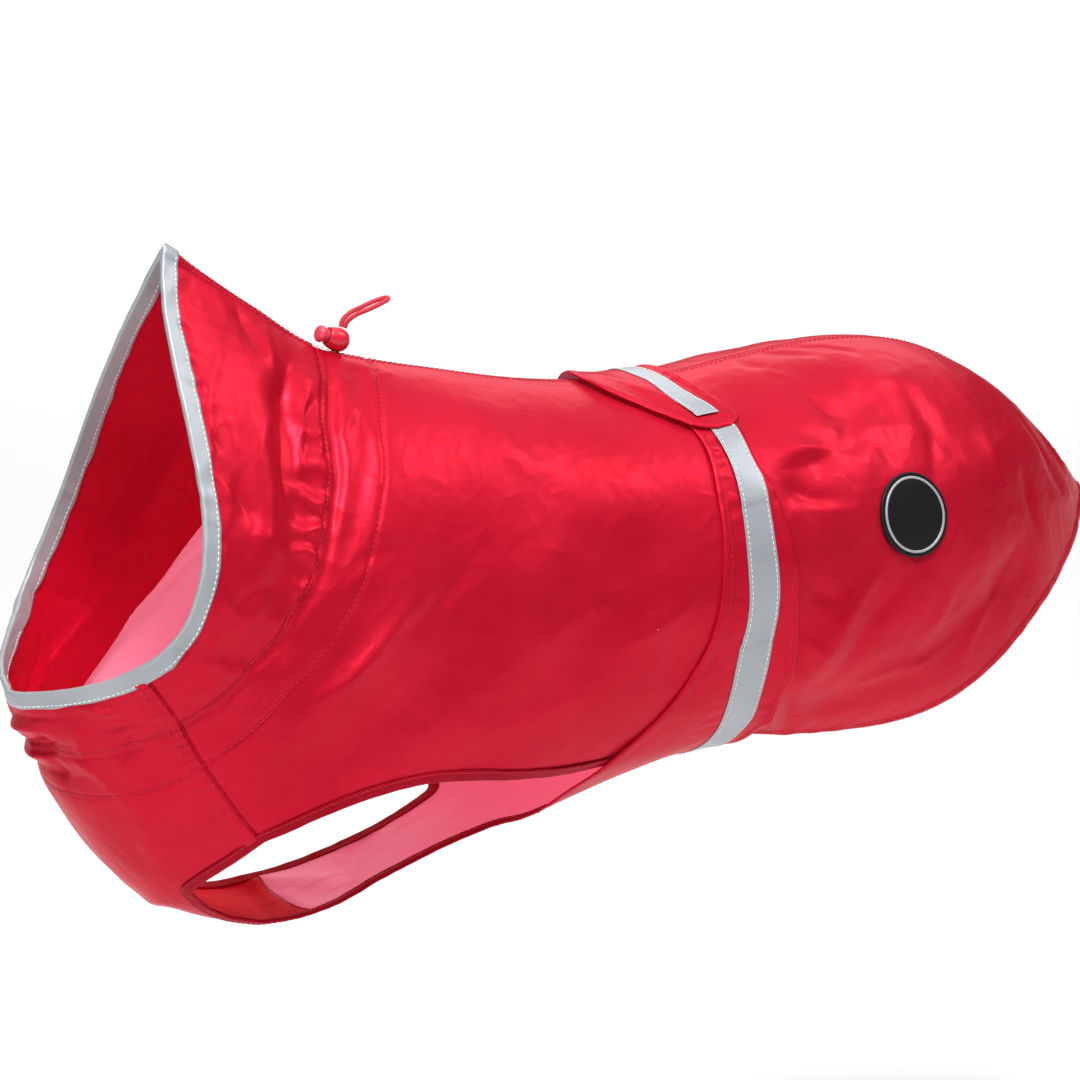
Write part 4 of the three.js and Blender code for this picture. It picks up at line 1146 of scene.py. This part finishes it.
@dataclass
class BellyBelt:
    """The rest of the strip, and the belt that closes over the back."""

    lift: float = 1.75
    thick: float = 0.85
    strap_lift: float = 4.0
    hem_width: float = 4.2
    hem_lift: float = 0.75
    tape_half: float = 6.6

    def base(self, around: np.ndarray) -> np.ndarray:
        """Height of the belt's underside above the form."""
        return self.lift + (self.strap_lift - self.lift) * smoothstep(around, 338, 358)

    def crease_height(self, back: np.ndarray, around: np.ndarray) -> np.ndarray:
        """Puckers beside the tape and slow waves along the belt."""
        across = around * MM_PER_DEGREE
        line = read_line(TAPE_LINE, around)
        beside = bump((np.abs(back - line) - 10.5) / 2.2)
        comb = np.sin(across * 2 * math.pi / 9.5 + 1.8 * np.sin(across / 13))
        comb = comb * drift(back * 0.2, across, 60, 12)
        return 0.45 * beside * comb + 0.35 * drift(back, across, 33, 14)

    def patches(self) -> list[Patch]:
        """The strip, and the band from the left end round to the strap's end."""
        strip_columns = 40
        strip_share = np.linspace(0, 1, strip_columns + 1)

        def strip_angles(at: np.ndarray) -> np.ndarray:
            """Angles across the strip at each of its rows."""
            half = read_line(STRIP, at)
            offset = half[:, None] * np.abs(1 - 2 * strip_share)[None]
            angle = Form.angle_at(np.broadcast_to(at[:, None], offset.shape), offset)
            return np.where(strip_share[None] <= 0.5, angle, 360 - angle)

        middle = strip_angles(np.array([291.0]))[0]
        left = np.linspace(4, middle[0], 130)[:-1]
        right = np.concatenate([np.linspace(middle[-1], 391.0, 190)[1:], np.linspace(391.0, 397.0, 18)[1:]])
        angle = np.concatenate([left, middle, right])
        front, rear = read_line(BELT_FRONT, angle), read_line(BELT_REAR, angle)
        share = np.concatenate([
            [0, 0.012, 0.025, 0.04, 0.055, 0.07, 0.085, 0.1], np.linspace(0.12, 0.88, 18),
            [0.9, 0.915, 0.93, 0.945, 0.96, 0.975, 0.988, 1.0],
        ])
        back = front[None] + (rear - front)[None] * share[:, None]
        around = np.broadcast_to(angle[None], back.shape).copy()
        edge = self.outline()
        distance = edge_distance(Form.point(back, around), edge, 9.0)
        hem = Hem.rise(distance, self.hem_width, self.hem_lift)
        crease = self.crease_height(back, around)
        top = self.base(around) + self.thick + hem + crease
        band = Patch(back, around, top, self.thick + np.maximum(hem, 0))
        rows = spread([(244.45, 0), (288, 2.4)])
        strip_around = strip_angles(rows)
        strip_back = np.broadcast_to(rows[:, None], strip_around.shape)
        strip_around = np.vstack([strip_around, middle[None]])
        strip_back = np.vstack([strip_back, read_line(BELT_FRONT, middle)[None]])
        ramp = smoothstep(strip_back, 250, 288)
        sewn = 0.95 - self.thick + (self.lift + self.thick - 0.95) * ramp
        strip_top = sewn + self.thick + self.crease_height(strip_back, strip_around) * ramp
        first = len(left)
        strip_top[-1] = top[0, first:first + strip_columns + 1]
        strip_thick = np.full(strip_top.shape, self.thick)
        strip_thick[-1] = band.thick[0, first:first + strip_columns + 1]
        return [band, Patch(strip_back, strip_around, strip_top, strip_thick)]

    def outline(self) -> np.ndarray:
        """Points of the belt's outline, in millimetres, without the stretch where the strip meets it."""
        angle = np.linspace(4, 397, 600)
        front, rear = read_line(BELT_FRONT, angle), read_line(BELT_REAR, angle)
        end = np.linspace(0, 1, 8)
        back = np.concatenate([rear, rear[-1] + (front[-1] - rear[-1]) * end])
        around = np.concatenate([angle, np.full(8, 397.0)])
        keep = (angle < 146) | (angle > 214)
        fronts = Form.point(front[::-1], angle[::-1])[keep[::-1]]
        low = np.vstack([Form.point(back, around), fronts])
        return low

    def build(self) -> bpy.types.Object:
        """Make the belly piece with its belt, and their stitching."""
        piece = Shell("panel_belly_belt").build(self.patches(), SHELL_RED.material(),
                                                SHELL_REVERSE.material())
        dress(piece, COAT, "shell", "belly_belt")
        places = []
        for table, shift, span in ((BELT_FRONT, 3.1, (6, 146)), (BELT_FRONT, 3.1, (214, 391)),
                                   (BELT_REAR, -3.1, (6, 391))):
            angle = np.linspace(*span, int((span[1] - span[0]) * 1.5))
            at = read_line(table, angle) + shift
            out = self.base(angle) + self.thick + 0.3 + self.crease_height(at, angle)
            places.append((at, angle, out))
        thread = Stitching("thread_belly_belt", RED_THREAD, radius=0.19).along(places)
        dress(thread, COAT, "shell")
        return piece


# Creases across the tape: degrees around, rise and half width
TAPE_CREASES = ((103.5, -0.5, 1.3), (101.5, 0.3, 2), (63, -0.35, 1.4), (262, -0.3, 1.4))


@dataclass
class BeltTape:
    """Reflective tape sewn along the belt."""

    belt: BellyBelt
    thick: float = 0.35
    ease: float = 0.12

    def build(self) -> bpy.types.Object:
        """Make the tape and the pale stitches along both of its edges."""
        angle = np.linspace(12, 392, 560)
        low, high = self.edge(angle, -1), self.edge(angle, 1)
        share = np.array([0, 0.02, 0.05, 0.09, 0.14, 0.25, 0.4, 0.5, 0.6, 0.75, 0.86, 0.91, 0.95, 0.98, 1.0])
        back = low[None] + (high - low)[None] * share[:, None]
        around = np.broadcast_to(angle[None], back.shape).copy()
        top = self.top(back, around)
        dent = -0.12 * bump((np.minimum(back - low[None], high[None] - back) - 1.2) / 0.5)
        crease = np.zeros_like(top)
        for place, rise, half in TAPE_CREASES:
            crease = crease + rise * bump((around - place) * MM_PER_DEGREE / half)
        piece = Shell("belt_tape_silver").build([Patch(back, around, top + dent + crease * 0.8,
                                                       np.full(top.shape, self.thick))],
                                                SILVER.material(), SILVER.material())
        dress(piece, COAT, "reflective", "belt_tape")
        places = []
        for side in (-1, 1):
            line = self.edge(angle, side) - side * 1.2
            places.append((line, angle, self.top(line, angle) + 0.05))
        thread = Stitching("thread_belt_tape", PALE_THREAD, length=2.2, radius=0.25).along(places)
        dress(thread, COAT, "reflective")
        return piece

    def edge(self, around: np.ndarray, side: int) -> np.ndarray:
        """Front (-1) or rear (1) edge of the tape, kept within the belt."""
        front, rear = read_line(BELT_FRONT, around), read_line(BELT_REAR, around)
        margin = 0.08 * (rear - front)
        line = read_line(TAPE_LINE, around) + side * self.belt.tape_half
        return np.clip(line, front + margin, rear - margin)

    def top(self, back: np.ndarray, around: np.ndarray) -> np.ndarray:
        """Height of the tape's face, just over the belt."""
        belt = self.belt
        clear = np.minimum(read_line(BELT_REAR, around) - self.edge(around, 1),
                           self.edge(around, -1) - read_line(BELT_FRONT, around))
        over_hem = 0.8 * np.maximum(1 - smoothstep(clear, 4.2, 6.2), smoothstep(around, 380, 388))
        face = belt.base(around) + belt.thick + belt.crease_height(back, around)
        return face + self.ease + over_hem + self.thick


@dataclass
class CollarBinding:
    """Reflective binding folded over the collar, stitched through."""

    width: float = 7.6
    thick: float = 0.45
    over: float = 1.15
    under: float = -1.35

    def outline(self) -> np.ndarray:
        """Cross-section: x runs into the cloth from its edge, y out of the form."""
        turn = np.linspace(90, 270, 9)
        middle, radius = (self.over + self.under) / 2, (self.over - self.under) / 2 + self.thick
        outer = [(-0.6 + radius * 0.8 * math.cos(math.radians(t)),
                  middle + radius * math.sin(math.radians(t))) for t in turn]
        fold = radius - self.thick
        inner = [(-0.6 + fold * 0.6 * math.cos(math.radians(t)), middle + fold * math.sin(math.radians(t)))
                 for t in turn[::-1]]
        top = self.over + self.thick
        low = self.under - self.thick
        run = np.linspace(0.5, self.width, 8)
        upper = [(x, top) for x in run[::-1]]
        wide = np.linspace(0.5, self.width + 0.4, 8)
        lower = [(x, low) for x in wide]
        upper_in = [(x, self.over) for x in run]
        lower_in = [(x, self.under) for x in wide[::-1]]
        return np.array(upper + outer + lower + lower_in + inner + upper_in)

    @staticmethod
    def stretch(around: np.ndarray) -> np.ndarray:
        """Millimetres of cloth for each millimetre along the centre back, which is less under the neck."""
        return np.linalg.norm(Form.point(2.0, around) - Form.point(0.0, around), axis=-1) / 2

    def build(self) -> bpy.types.Object:
        """Make the binding and its stitches, on both faces."""
        outline = self.outline()
        angle = np.linspace(0, 360, 421)[:-1]
        side = turned(angle) * MM_PER_DEGREE
        ease = 1.1 * drift(side * 0, side, 24, 51)
        uneven = 0.04 * drift(side * 0, side, 26, 52)[:, None] * (outline[None, :, 0] > 3)
        x = outline[None, :, 0] * (1 + uneven)
        x = x / self.stretch(angle)[:, None]
        swell = 0.12 * drift(side[:, None] + outline[None, :, 0], side[:, None], 14, 53)
        seams = 0.7 * bump((np.abs(side) - 205) / 9) + 0.35 * bump(side / 8)
        y = outline[None, :, 1] + 0.22 * ease[:, None]
        y = y + (swell + seams[:, None]) * np.sign(outline[None, :, 1])
        around = np.broadcast_to(angle[:, None], x.shape)
        rise = BackPanels.binding_puckers(np.maximum(x, 0), around) * (np.abs(turned(around)) < 117)
        points = cloth_points(x, around, y + 0.5 * rise)
        count, size = x.shape
        ids = np.arange(count * size).reshape(count, size)
        right, below = np.roll(ids, -1, axis=1), np.roll(ids, -1, axis=0)
        corner = np.roll(below, -1, axis=1)
        faces = np.stack([ids, right, corner, below], -1).reshape(-1, 4)
        run = np.concatenate([[0], np.cumsum(np.linalg.norm(np.diff(outline, axis=0), axis=1))])
        flat = np.stack([np.broadcast_to(run[None], x.shape), np.broadcast_to(side[:, None], x.shape)], -1)
        piece = MeshWriter.write("collar_binding_silver", points.reshape(-1, 3), faces, [SILVER.material()],
                                 flat=flat.reshape(-1, 2) * 0.01)
        dress(piece, COAT, "reflective", "collar_binding")
        places = []
        closed = np.linspace(1, 359, 500)
        line = (self.width - 1.5) / self.stretch(closed)
        rise = 0.5 * BackPanels.binding_puckers(line, closed) * (np.abs(turned(closed)) < 117)
        side = turned(closed) * MM_PER_DEGREE
        ease = 0.242 * drift(side * 0, side, 24, 51)
        places.append((line, closed, self.over + self.thick + 0.08 + rise + ease))
        places.append((line, closed, self.under - self.thick - 0.08 + rise + ease))
        thread = Stitching("thread_collar", PALE_THREAD, length=2.1, pause=0.9, radius=0.3).along(places)
        dress(thread, COAT, "reflective")
        return piece


@dataclass
class LegBinding:
    """Red binding folded over the edge of one leg opening."""

    side: Side
    width: float = 5.4
    thick: float = 0.45
    hem_end: float = 306.0
    strip_end: float = 289.0
    belt_end: float = 146.0
    taper: float = 9.0

    def line(self) -> tuple[np.ndarray, np.ndarray, np.ndarray]:
        """Places along the opening's edge: along the hem, down the chest's end and back along the strip."""
        panel = BackPanels()
        hem_back = spread([(SEAM_END, 0), (self.hem_end, 2.0)])[::-1]
        hem_around = panel.edge(hem_back) - 0.06
        chest = ChestPiece()
        end_around = chest.columns(np.array([SEAM_END + 5]))[0]
        first = 4 + chest.band_columns
        chest_around = end_around[1:first + 1]
        chest_back = read_line(CHEST_END, chest_around)
        strip_back = spread([(192, 0), (self.strip_end, 2.0)])
        strip_around = Form.angle_at(strip_back, read_line(STRIP, strip_back))
        belt_around = np.arange(strip_around[-1] - 2, self.belt_end, -0.8)
        belt_back = read_line(BELT_FRONT, belt_around)
        back = np.concatenate([hem_back, chest_back, strip_back, belt_back])
        around = np.concatenate([hem_around, chest_around, strip_around, belt_around])
        lift = np.concatenate([np.zeros(len(hem_back) + len(chest_back)),
                               1.6 * smoothstep(strip_back, 250, 288), np.full(len(belt_back), 1.6)])
        return back, around, lift

    def build(self) -> bpy.types.Object:
        """Make the binding and its stitching."""
        back, around, lift = self.line()
        around = around * self.side.value
        edge = cloth_points(back, around, lift + 0.6) / MM
        normal = Form.normal(back, around)
        run = np.concatenate([[0], np.cumsum(np.linalg.norm(np.diff(edge, axis=0), axis=1))])
        stations = np.arange(0, run[-1], 1.8)

        def even(values: np.ndarray) -> np.ndarray:
            """Values at equal steps along the edge, smoothed."""
            resampled = np.stack([np.interp(stations, run, values[:, k]) for k in range(3)], -1)
            kernel = np.array([1, 2, 3, 2, 1]) / 9
            padded = np.pad(resampled, ((2, 2), (0, 0)), mode="edge")
            return np.stack([np.convolve(padded[:, k], kernel, mode="valid") for k in range(3)], -1)

        edge, normal = even(edge), even(normal)
        normal /= np.linalg.norm(normal, axis=1, keepdims=True)
        along = np.gradient(edge, axis=0)
        along /= np.linalg.norm(along, axis=1, keepdims=True)
        inward = np.cross(along, normal) * self.side.value
        inward /= np.linalg.norm(inward, axis=1, keepdims=True)
        outline = self.outline()
        wave = 0.15 * drift(stations * 0, stations, 15, 61)
        ends = smoothstep(np.minimum(stations, stations[-1] - stations), -0.3 * self.taper, self.taper)
        x = (outline[None, :, 0] + wave[:, None] * (outline[None, :, 0] > 2)) * ends[:, None]
        y = outline[None, :, 1] * (0.45 + 0.55 * ends[:, None])
        y = y + 0.1 * drift(outline[None, :, 0] * 2, stations[:, None], 12, 62)
        points = edge[:, None] + inward[:, None] * x[..., None] + normal[:, None] * y[..., None]
        count, size = x.shape
        ids = np.arange(count * size).reshape(count, size)
        right = np.roll(ids, -1, axis=1)
        faces = np.stack([ids[:-1], right[:-1], right[1:], ids[1:]], -1).reshape(-1, 4).tolist()
        faces.append(list(range(size))[::-1])
        faces.append(list(range((count - 1) * size, count * size)))
        if self.side is Side.RIGHT:
            faces = [face[::-1] for face in faces]
        flat = np.stack([np.broadcast_to(outline[None, :, 0], x.shape),
                         np.broadcast_to(stations[:, None], x.shape)], -1).reshape(-1, 2)
        name = f"leg_binding_{self.side.name.lower()}"
        piece = MeshWriter.write(f"{name}_red", points.reshape(-1, 3) * MM, faces, [BINDING_RED.material()],
                                 flat=flat * 0.01)
        dress(piece, COAT, "binding", name)
        lines, normals = [], []
        inner = slice(round(self.taper / 1.8), -round(self.taper / 1.8))
        for height, facing in ((self.outer + 0.08, 1), (-self.outer - 0.08, -1)):
            lines.append((edge + inward * (self.width - 1.2) + normal * height)[inner] * MM)
            normals.append(normal[inner] * facing)
        thread = Stitching(f"thread_{name}", RED_THREAD, radius=0.19).points(lines, normals)
        dress(thread, COAT, "binding")
        return piece

    @property
    def outer(self) -> float:
        """Height of the binding's face from the middle of the cloth."""
        return 0.7 + self.thick

    def outline(self) -> np.ndarray:
        """Cross-section: x runs into the cloth from its edge, y out of the form."""
        inner = 0.7
        turn = np.radians(np.linspace(90, 270, 7))
        outer_arc = [(-0.2 + self.outer * 0.9 * math.cos(t), self.outer * math.sin(t)) for t in turn]
        inner_arc = [(-0.2 + inner * 0.9 * math.cos(t), inner * math.sin(t)) for t in turn[::-1]]
        run = np.linspace(0.6, self.width, 5)
        return np.array([(x, self.outer) for x in run[::-1]] + outer_arc + [(x, -self.outer) for x in run]
                        + [(x, -inner) for x in run[::-1]] + inner_arc + [(x, inner) for x in run])


@dataclass
class Badge:
    """Round rubber badge, bare but for one raised ring."""

    back: float = 428.0
    around: float = 74.0
    ring: float = 20.4

    def build(self) -> list[bpy.types.Object]:
        """Make the disc and its painted ring."""
        profile = [
            (0.0, 2.0), (6.0, 2.0), (12.0, 2.0), (17.0, 2.0), (19.4, 2.0), (21.8, 2.0), (22.3, 2.05),
            (22.9, 2.15), (23.3, 1.95), (23.55, 1.5), (23.6, 0.9), (23.5, 0.25), (23.1, 0.02),
        ]
        disc = self.lathe("badge_rubber", profile, BLACK_RUBBER, closed_centre=True)
        dress(disc, COAT, "rubber", "badge")
        ring_profile = [
            (self.ring - 0.75, 1.95), (self.ring - 0.62, 2.4), (self.ring - 0.3, 2.58),
            (self.ring + 0.3, 2.58), (self.ring + 0.62, 2.4), (self.ring + 0.75, 1.95),
        ]
        ring = self.lathe("badge_ring", ring_profile, RING_PAINT, closed_centre=False)
        dress(ring, COAT, "rubber")
        return [disc, ring]

    def lathe(self, name: str, profile: Sequence[tuple[float, float]], finish: Finish,
              closed_centre: bool) -> bpy.types.Object:
        """Lay a round profile on the cloth.

        Args:
            name: name of the piece.
            profile: radius and height pairs, in millimetres.
            finish: its finish.
            closed_centre: whether the profile starts on the axis.

        Returns:
            The new object.
        """
        sectors = 96
        turn = np.arange(sectors) * 2 * math.pi / sectors
        mm_back = np.linalg.norm(Form.point(self.back + 0.5, self.around)
                                 - Form.point(self.back - 0.5, self.around))
        mm_around = np.linalg.norm(Form.point(self.back, self.around + 0.5)
                                   - Form.point(self.back, self.around - 0.5))
        rings = []
        for radius, height in profile:
            back = self.back + radius * np.cos(turn) / mm_back
            around = self.around + radius * np.sin(turn) / mm_around
            rings.append(self.seat(back, around, height))
        if not closed_centre:
            rings.append(self.seat(
                self.back + profile[-1][0] * np.cos(turn) / mm_back,
                self.around + profile[-1][0] * np.sin(turn) / mm_around, profile[-1][1] - 0.3))
            rings.append(self.seat(
                self.back + profile[0][0] * np.cos(turn) / mm_back,
                self.around + profile[0][0] * np.sin(turn) / mm_around, profile[0][1] - 0.3))
        points = np.array(rings)
        count = len(points)
        ids = np.arange(count * sectors).reshape(count, sectors)
        beside = np.roll(ids, -1, axis=1)
        faces = np.stack([ids[:-1], ids[1:], beside[1:], beside[:-1]], -1).reshape(-1, 4).tolist()
        if closed_centre:
            faces.append(ids[-1].tolist()[::-1])
        else:
            faces += np.stack([ids[-1], ids[0], beside[0], beside[-1]], -1).tolist()
        piece = MeshWriter.write(name, points.reshape(-1, 3), faces, [finish.material()])
        self.tidy(piece)
        return piece

    @staticmethod
    def tidy(piece: bpy.types.Object) -> None:
        """Merge the points on the axis and turn every face out."""
        mesh = bmesh.new()
        mesh.from_mesh(piece.data)
        bmesh.ops.remove_doubles(mesh, verts=mesh.verts, dist=1e-6)
        bmesh.ops.recalc_face_normals(mesh, faces=mesh.faces)
        mesh.to_mesh(piece.data)
        mesh.free()

    def seat(self, back: np.ndarray, around: np.ndarray, height: float) -> np.ndarray:
        """Points over the badge's seat, which smooths the creases under it."""
        ease = 0.25 * Relief.height(back, around) + 0.75 * float(
            Relief.height(np.array([self.back]), np.array([self.around]))[0])
        out = 1.2 + height + ease
        return (Form.point(back, around) + Form.normal(back, around) * np.asarray(out)[..., None]) * MM


@dataclass
class CordLock:
    """Barrel, plunger and the elastic loop that comes out of the barrel's top."""

    x: float = -72.0
    tilt: float = 22.0
    radius: float = 6.4
    length: float = 13.0
    travel: float = 3.0

    def frame(self) -> tuple[np.ndarray, np.ndarray, np.ndarray]:
        """Axis, up direction and centre of the lock, in millimetres, as the solids have them."""
        back = np.interp(self.x, [-81, -51], [107, 138])
        for _ in range(30):
            back = back + (self.x - float(read_table(RINGS, np.array([back]))[0, 0])) * 0.8
        at, centre_line = np.array([back]), np.array([0.0])
        folds = Relief.ridges(at, centre_line, FOLDS, tapered=False)
        seat = (Form.point(at, centre_line) + Form.normal(at, centre_line) * (1.5 + folds)[:, None])[0]
        lean = math.radians(self.tilt)
        axis = np.array([-math.cos(lean), 0.0, math.sin(lean)])
        up = np.array([math.sin(lean), 0.0, math.cos(lean)])
        return axis, up, seat + up * self.radius

    def lathe(self, name: str, profile: Sequence[tuple[float, float]], finish: Finish) -> bpy.types.Object:
        """Turn a profile of radius and place along the axis into a piece."""
        axis, up, centre = self.frame()
        side = np.cross(axis, up)
        sectors = 64
        turn = np.arange(sectors) * 2 * math.pi / sectors
        points = np.array([
            centre + axis * along + radius * (np.cos(turn)[:, None] * up + np.sin(turn)[:, None] * side)
            for radius, along in profile
        ])
        ids = np.arange(points.shape[0] * sectors).reshape(points.shape[0], sectors)
        beside = np.roll(ids, -1, axis=1)
        faces = np.stack([ids[:-1], beside[:-1], beside[1:], ids[1:]], -1).reshape(-1, 4).tolist()
        piece = MeshWriter.write(name, points.reshape(-1, 3) * MM, faces, [finish.material()])
        Badge.tidy(piece)
        return piece

    def build(self) -> list[bpy.types.Object]:
        """Make the barrel, the plunger and the loop."""
        half, r = self.length / 2, self.radius
        barrel = self.lathe("lock_barrel_ball", [
            (0, -half), (1.4, -half + 0.02), (2.8, -half + 0.35), (4.2, -half + 1.15), (5.3, -half + 2.4),
            (6.05, -half + 3.9), (6.38, -1.2), (r, 0.3), (6.3, 1.8), (6.0, 3.4), (5.6, 4.8), (5.25, 5.7),
            (5.0, half - 0.25), (4.75, half), (4.3, half), (4.1, half - 0.3),
            (4.1, -2.6), (3.9, -3.0), (0, -3.0),
        ], LOCK_RED)
        dress(barrel, COAT, "lock", "cord_lock_barrel")
        rim = half + self.travel + 0.3
        plunger = self.lathe("lock_plunger_cap", [
            (0, rim - 8.0), (3.5, rim - 8.0), (3.8, rim - 7.7), (3.8, rim - 0.3), (4.0, rim),
            (4.35, rim + 0.05),
            (4.6, rim + 0.4), (4.6, rim + 1.3), (4.35, rim + 2.1), (3.6, rim + 2.75), (2.4, rim + 3.08),
            (1.2, rim + 3.18), (0, rim + 3.2),
        ], PLUNGER_RED)
        dress(plunger, PLUNGER, "lock", "cord_lock_plunger")
        return [barrel, plunger, self.loop()]

    def loop(self) -> bpy.types.Object:
        """Elastic loop out of the barrel's top and back into it."""
        route = [(1.0, 2.0, 0), (2.2, 2.6, 3.2), (7, 3.5, 6.6), (15, 4.2, 9.2), (23, 3.9, 11.8),
                 (27.4, 2.3, 13.2), (28.4, 0, 13.6)]
        _, up, centre = self.frame()
        root = centre + up * (self.radius + 0.3)
        there = [root + np.array([behind, -left, rise]) for behind, left, rise in route]
        home = [root + np.array([behind, left, rise]) for behind, left, rise in route[:-1][::-1]]
        anchors = np.array(there + home)
        key = np.concatenate([[0], np.cumsum(np.sqrt(np.linalg.norm(np.diff(anchors, axis=0), axis=1)))])
        table = np.column_stack([key, anchors])
        points = read_table(table, np.linspace(0, key[-1], 61)) * MM
        curve = bpy.data.curves.new("drawcord_loop", "CURVE")
        curve.dimensions = "3D"
        curve.bevel_depth = 1.25 * MM
        curve.bevel_resolution = 4
        curve.use_fill_caps = True
        line = curve.splines.new("POLY")
        line.points.add(len(points) - 1)
        for point, place in zip(line.points, points):
            point.co = (*place, 1)
        curve.materials.append(CORD_RED.material())
        piece = bpy.data.objects.new("drawcord_loop", curve)
        bpy.context.scene.collection.objects.link(piece)
        dress(piece, COAT, "cord", "cord_loop")
        return piece


@dataclass
class Studio:
    """Floor, lights and camera."""

    floor: float = -0.62
    camera_place: Colour = (-0.9506, -1.6131, 0.3389)
    azimuth: float = -32.0
    elevation: float = 13.0
    lens: float = 117.17

    def build(self) -> None:
        """Set up the whole studio."""
        self.build_floor()
        self.build_world()
        self.build_lights()
        self.build_camera()

    def build_floor(self) -> None:
        """Lay a wide plain pale floor."""
        reach = 30.0
        corners = np.array([[-reach, -reach, self.floor], [reach, -reach, self.floor],
                            [reach, reach, self.floor], [-reach, reach, self.floor]])
        material = bpy.data.materials.new("pale_floor")
        material.use_nodes = True
        shader = material.node_tree.nodes["Principled BSDF"]
        shader.inputs["Base Color"].default_value = (0.93, 0.93, 0.93, 1)
        shader.inputs["Roughness"].default_value = 0.9
        shader.inputs["Specular IOR Level"].default_value = 0.1
        floor = MeshWriter.write("studio_floor", corners, [[0, 1, 2, 3]], [material], smooth=False)

    def build_world(self) -> None:
        """Light from all sides, brighter from above than from the horizon."""
        world = bpy.data.worlds.new("studio_light")
        bpy.context.scene.world = world
        world.use_nodes = True
        tree = world.node_tree
        light = tree.nodes["Background"]
        place = tree.nodes.new("ShaderNodeTexCoord")
        split = tree.nodes.new("ShaderNodeSeparateXYZ")
        tree.links.new(place.outputs["Generated"], split.inputs[0])
        ramp = tree.nodes.new("ShaderNodeMapRange")
        ramp.interpolation_type = "SMOOTHSTEP"
        ramp.inputs["From Min"].default_value = 0.25
        ramp.inputs["From Max"].default_value = 0.95
        ramp.inputs["To Min"].default_value = 0.03
        ramp.inputs["To Max"].default_value = 1.02
        tree.links.new(split.outputs["Z"], ramp.inputs["Value"])
        tree.links.new(ramp.outputs[0], light.inputs["Strength"])
        light.inputs["Color"].default_value = (1, 1, 1, 1)

    def build_lights(self) -> None:
        """Hang the soft lights."""
        for name, place, size, power in (
            ("key_light", (-0.45, -0.8, 1.85), 0.7, 45.0),
            ("rear_light", (1.2, -0.7, 1.3), 0.5, 7.0),
            ("front_light", (-1.7, -0.7, 0.3), 0.8, 6.0),
            ("backdrop_light", (4.4, 6.5, 3.2), 7.0, 260.0),
        ):
            data = bpy.data.lights.new(name, "AREA")
            data.shape = "DISK"
            data.size = size
            data.energy = power
            lamp = bpy.data.objects.new(name, data)
            lamp.location = place
            aim = Vector((0.08, 0.0, -0.1)) - Vector(place)
            if name != "backdrop_light":
                lamp.rotation_euler = aim.to_track_quat("-Z", "Y").to_euler()
            bpy.context.scene.collection.objects.link(lamp)

    def build_camera(self) -> None:
        """Place the camera at the photograph's angle."""
        a, e = math.radians(self.azimuth), math.radians(self.elevation)
        toward = Vector((math.sin(a) * math.cos(e), -math.cos(a) * math.cos(e), math.sin(e)))
        right = Vector((math.cos(a), math.sin(a), 0))
        up = toward.cross(right)
        data = bpy.data.cameras.new("photo_camera")
        data.lens = self.lens
        data.sensor_width = 36.0
        data.clip_end = 100.0
        camera = bpy.data.objects.new("photo_camera", data)
        turn = Matrix((right, up, toward)).transposed().to_4x4()
        camera.matrix_world = Matrix.Translation(Vector(self.camera_place)) @ turn
        bpy.context.scene.collection.objects.link(camera)
        bpy.context.scene.camera = camera
        bpy.context.scene.view_settings.view_transform = "Standard"


def main() -> None:
    """Dress the coat, piece by piece."""
    logging.basicConfig(level=logging.INFO, format="%(name)s: %(message)s")
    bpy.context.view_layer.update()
    belt = BellyBelt()
    builders: list[Callable[[], object]] = [
        Studio().build, CordLock().build, BackPanels().build, ChestPiece().build, NeckLining().build,
        belt.build, BeltTape(belt).build, CollarBinding().build, LegBinding(Side.LEFT).build,
        LegBinding(Side.RIGHT).build, Badge().build,
    ]
    for build in builders:
        build()


if __name__ == "__main__":
    main()
